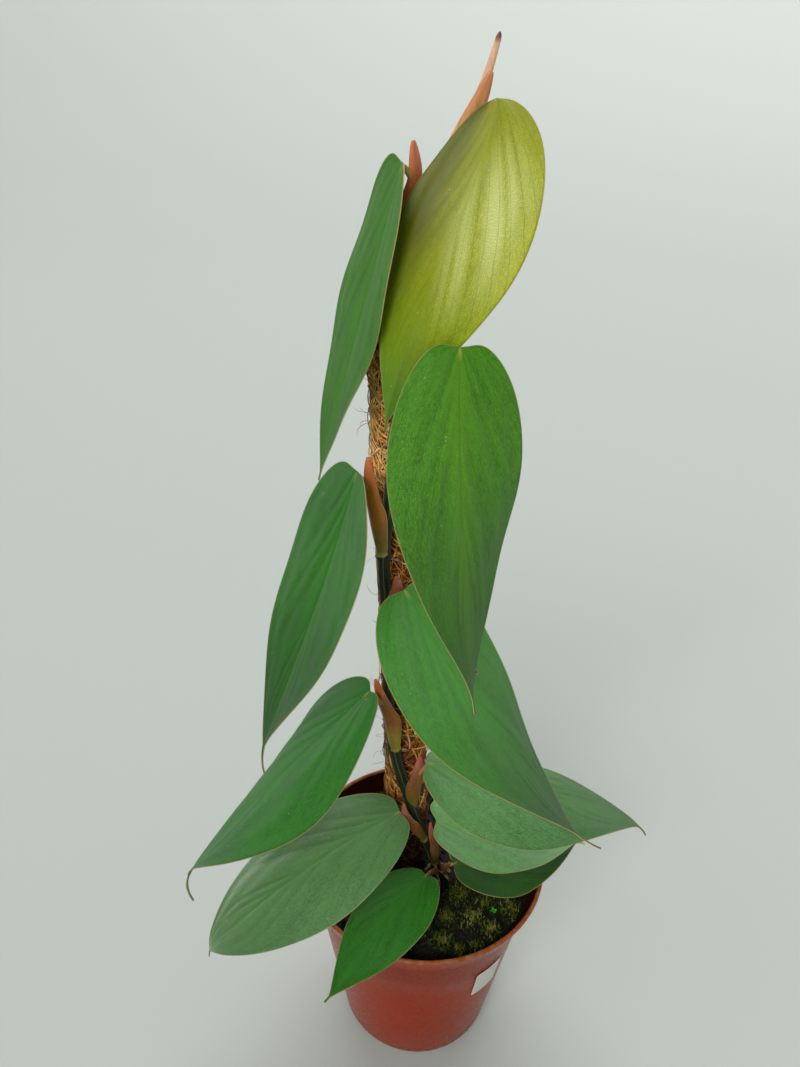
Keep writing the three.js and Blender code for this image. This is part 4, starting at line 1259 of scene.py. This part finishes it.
    relief = add("Math", [line, -0.3, grain], operation="MULTIPLY_ADD")
    relief = add("Math", [net, -0.9, relief], operation="MULTIPLY_ADD")
    gloss = (0.28, 0.36) if is_new else (0.4, 0.5)
    return {
        "Base Color": [dark, *coats], "Roughness": add("MapRange", [cloud, 0.3, 0.7, *gloss]), "IOR": 1.45,
        "Normal": (relief, 0.6, 0.00007 if is_new else 0.0002),
        "Specular IOR Level": 0.5 if is_new else 0.34 + 0.8 * leaf["bloom"],
        "Sheen Weight": leaf["bloom"], "Sheen Roughness": 0.35, "Sheen Tint": DUST_SHEEN,
    }


def leaf_underside(add, place, pale, deep):
    """The paler, matt lower skin."""
    cloud = add("TexNoise", {"Vector": place, "Scale": 60, "Detail": 4})
    grain = add("TexNoise", {"Vector": place, "Scale": 900, "Detail": 3})
    return {"Base Color": [pale, (cloud, deep)], "Roughness": 0.6, "Normal": (grain, 0.3, 0.0003)}


def leaf_margin(add, place):
    """The thickened margin: a translucent cream line, pinkish in places."""
    patch = add("TexNoise", {"Vector": place, "Scale": 60, "Detail": 2})
    return {"Base Color": [MARGIN_CREAM, (patch, MARGIN_ROSE)], "Roughness": 0.5}


def on_blade(u, v):
    """Share and side of a grid's point: rows lie closer at both ends, and columns at the midrib."""
    from_middle = 2 * u - 1
    share = v - 0.75 * math.sin(math.tau * v) / math.tau
    return min(1, max(0, share)), -from_middle * abs(from_middle) ** 0.3


green_underside = made_of(leaf_underside, "#6f8a5c", "#557040")
new_underside = made_of(leaf_underside, "#a9ab4c", "#959a38", name="new_leaf_underside")
margin_line = made_of(leaf_margin)
for index, leaf in enumerate(LEAVES):
    number = f"{index + 1:02d}"
    stations = midrib_of(leaf)
    bm = shaped_grid(
        BLADE_COLUMNS, BLADE_ROWS, lambda u, v: blade_point(leaf, index, stations, *on_blade(u, v)),
    )
    to_margin = bm.verts.layers.float.new("to_margin")
    band = bm.verts.layers.float.new("vein_band")
    weights = bm.verts.layers.deform.verify()
    uv = bm.loops.layers.uv.active
    for face in bm.faces:
        for loop in face.loops:
            share, side = on_blade(*loop[uv].uv)
            loop[uv].uv = (0.5 + side / 2, share)
            loop.vert[to_margin] = half_width(leaf, share) * (1 - abs(side))
            loop.vert[band] = vein_band(share, side)
            loop.vert[weights][0] = (1 - abs(side)) ** 2
    skin = made_of(leaf_skin, leaf, name=f"leaf_skin_{number}")
    underside = new_underside if leaf.get("is_new") else green_underside
    blade = finished(f"blade_{number}", bm, skin, underside, margin_line)
    blade.vertex_groups.new(name="thick")
    sheet = blade.modifiers.new("thickness", "SOLIDIFY")
    sheet.thickness = BLADE_THICKNESS * MM
    sheet.offset = 0
    sheet.vertex_group = "thick"
    sheet.thickness_vertex_group = THIN_SHARE
    sheet.material_offset = 1
    sheet.material_offset_rim = 2
    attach(blade, "root")
    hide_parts(f"leaf_{number}")


# Leaf stalks
# Each petiole is a short stalk with its foot round the stem and a blunt free end. Its wing ends in
# a rounded shoulder, on the side away from the blade, and a yellow-green neck joins the two.

STALK_ROWS, STALK_COLUMNS = 56, 36
NECK_FROM, NECK_STEPS = 0.64, 16
NECK_WIDTHS = (2.6, 1.8)
RING_YELLOW = "#9a9440"
STALK_SHADE, STALK_SPECK, STALK_EDGE = "#3a2412", "#d8a488", "#cf9a7c"
NECK_GREEN, NECK_ROSE = "#7d8628", "#a5693c"


def petiole_skin(add, place, edge, foot, middle, end):
    """Stalk tissue: smooth and waxy, streaked along its length, paler at the edges of its wings."""
    parts = add("SeparateXYZ", [add("UVMap", uv_map="surface")])
    streaked = add("Mapping", {"Vector": place, "Scale": (1, 1, 0.12)})
    streak = add("TexNoise", {"Vector": streaked, "Scale": 700, "Detail": 3})
    speck = add("TexNoise", {"Vector": place, "Scale": 1100, "Detail": 2})
    cloud = add("TexNoise", {"Vector": place, "Scale": 120, "Detail": 3})
    share = add("Math", [cloud, 0.16, parts.outputs["Y"]], operation="MULTIPLY_ADD")
    share = add("Math", [share, 0.08], operation="SUBTRACT")
    stops = [(0.02, RING_YELLOW), (0.06, foot), (0.18, foot), (0.42, middle), (0.66, middle), (0.9, end)]
    wing = add("Math", [parts.outputs["X"], 0.5], operation="PINGPONG")
    return {
        "Base Color": [
            add("ValToRGB", {"Fac": share}, stops=stops),
            (add("MapRange", [streak, 0.35, 0.7, 0.3, 0]), STALK_SHADE),
            (add("MapRange", [speck, 0.62, 0.72, 0, 0.25]), STALK_SPECK),
            (add("MapRange", [wing, 0, 0.03, 0.6, 0]), edge),
        ],
        "Roughness": 0.42, "IOR": 1.45, "Normal": (streak, 0.25, 0.0004),
        "Subsurface Weight": 0.15, "Subsurface Radius": (1.0, 0.4, 0.2), "Subsurface Scale": 0.0015,
    }


# The joint below a blade: soft yellow-green tissue with a rosy flush.
joint = made_of(
    clouded, (NECK_GREEN, NECK_ROSE), 260, 3, roughness=0.45, relief=(0.2, 0.0003), name="neck_skin",
)
for index, leaf in enumerate(LEAVES):
    number = f"{index + 1:02d}"
    route = route_through(leaf["stalk"], STALK_ROWS)
    faces = Vector(leaf["stalk_faces"]) if "stalk_faces" in leaf else None
    wing_side = -1 if math.cos(math.radians(leaf["heading"][0])) > 0 else 1

    def stalk_section(turn, share):
        belly = math.sin(math.pi * min(1, 0.25 + 0.55 * share)) ** 1.2
        in_point = max(0, (share - 0.55) / 0.47)
        closing = math.sqrt(max(0, 1 - in_point ** 4))
        past_shoulder = min(1, max(0, (share - 0.46) / 0.16))
        shoulder = 1 - past_shoulder ** 2 * (3 - 2 * past_shoulder)
        wing = 0.86 + 0.34 * min(1, share / 0.4) * shoulder
        half = max(0.4, leaf["stalk_width"] / 2 * belly * closing)
        half *= wing if math.cos(turn) * wing_side > 0 else 0.9
        depth = mix(2.1, 1.2, share) * max(0.3, closing)
        ring = 0.35 * math.exp(-((share - 0.02) / 0.018) ** 2)
        is_outer = math.sin(turn) > 0
        keel = 1 + 0.07 * math.cos(6 * turn) * is_outer
        return (
            (half + ring) * math.cos(turn),
            (depth * keel + ring) * math.sin(turn) * (1 if is_outer else 0.45),
        )

    def neck_section(turn, share):
        radius = mix(*NECK_WIDTHS, share) / 2 * math.sqrt(1 - max(0, (share - 0.85) / 0.17) ** 2)
        return radius * math.cos(turn), 0.8 * radius * math.sin(turn)

    stations = stations_along(route, lambda point: faces or from_pole(point))
    bm = swept(stations, STALK_COLUMNS, stalk_section)
    base_place, base_along, _, _ = on_midrib(midrib_of(leaf), 0)
    neck_from = route[round(NECK_FROM * STALK_ROWS)]
    neck_end = base_place + base_along * 0.5
    neck_bend = neck_from.lerp(neck_end, 0.6) + Vector((0, 0, 0.2))
    neck_route = route_through([neck_from, neck_bend, neck_end], NECK_STEPS)
    neck = swept(stations_along(neck_route, from_pole), 16, neck_section)
    for face in neck.faces:
        face.material_index = 1
    join(bm, neck)
    edge = leaf.get("stalk_edge", STALK_EDGE)
    skin = made_of(petiole_skin, edge, *leaf["stalk_colours"], name=f"petiole_skin_{number}")
    stalk = finished(f"stalk_{number}", bm, skin, joint)
    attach(stalk, "root")
    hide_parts(f"petiole_{number}")


# Growing tip
# The next leaf, still rolled in its pointed sheath: it stands out of the top stalk, salmon-pink
# and creased along one side, with a dried brown point.

TIP_ROUTE = [(-2.5, -0.5, 424), (3.2, -2, 438), (5.8, -3.5, 446), (7.9, -5, 454.3)]
TIP_ROWS = 50
TIP_RADIUS = 1.9
SALMON, PALE_PEACH, BLUSH, DRY_POINT = "#c98a66", "#e2b48e", "#b0604c", "#5a3320"


def sheath_skin(add, place):
    """A young sheath: soft and waxy, peach above and redder below, with a dry dark point."""
    parts = add("SeparateXYZ", [add("UVMap", uv_map="surface")])
    streaked = add("Mapping", {"Vector": place, "Scale": (1, 1, 0.1)})
    streak = add("TexNoise", {"Vector": streaked, "Scale": 900, "Detail": 3})
    share = add("Math", [streak, 0.06, parts.outputs["Y"]], operation="MULTIPLY_ADD")
    stops = [(0, SALMON), (0.45, SALMON), (0.62, PALE_PEACH), (0.94, PALE_PEACH), (0.99, DRY_POINT)]
    colour = add("ValToRGB", {"Fac": share}, stops=stops)
    blush = add("MapRange", [streak, 0.45, 0.7, 0, 0.4])
    return {
        "Base Color": [colour, (blush, BLUSH)], "Roughness": 0.45, "Normal": (streak, 0.25, 0.0003),
        "Subsurface Weight": 0.2, "Subsurface Radius": (1.0, 0.5, 0.3), "Subsurface Scale": 0.0015,
    }


def tip_section(turn, share):
    """Round, with a crease down one side, and drawn in to its point."""
    closing = math.sqrt(max(0.02, 1 - max(0, (share - 0.93) / 0.07) ** 2))
    radius = TIP_RADIUS * (1 - 0.55 * share ** 1.5) * closing
    crease = 1 - 0.16 * math.exp(-((turn - math.pi) / 0.35) ** 2)
    return radius * crease * math.cos(turn), 0.85 * radius * math.sin(turn)


tip_route = route_through(TIP_ROUTE, TIP_ROWS)
bm = swept(stations_along(tip_route, lambda point: Vector((0, -1, 0))), 24, tip_section)
tip = finished("tip_sheath", bm, made_of(sheath_skin))
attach(tip, "root")
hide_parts("growing_tip")
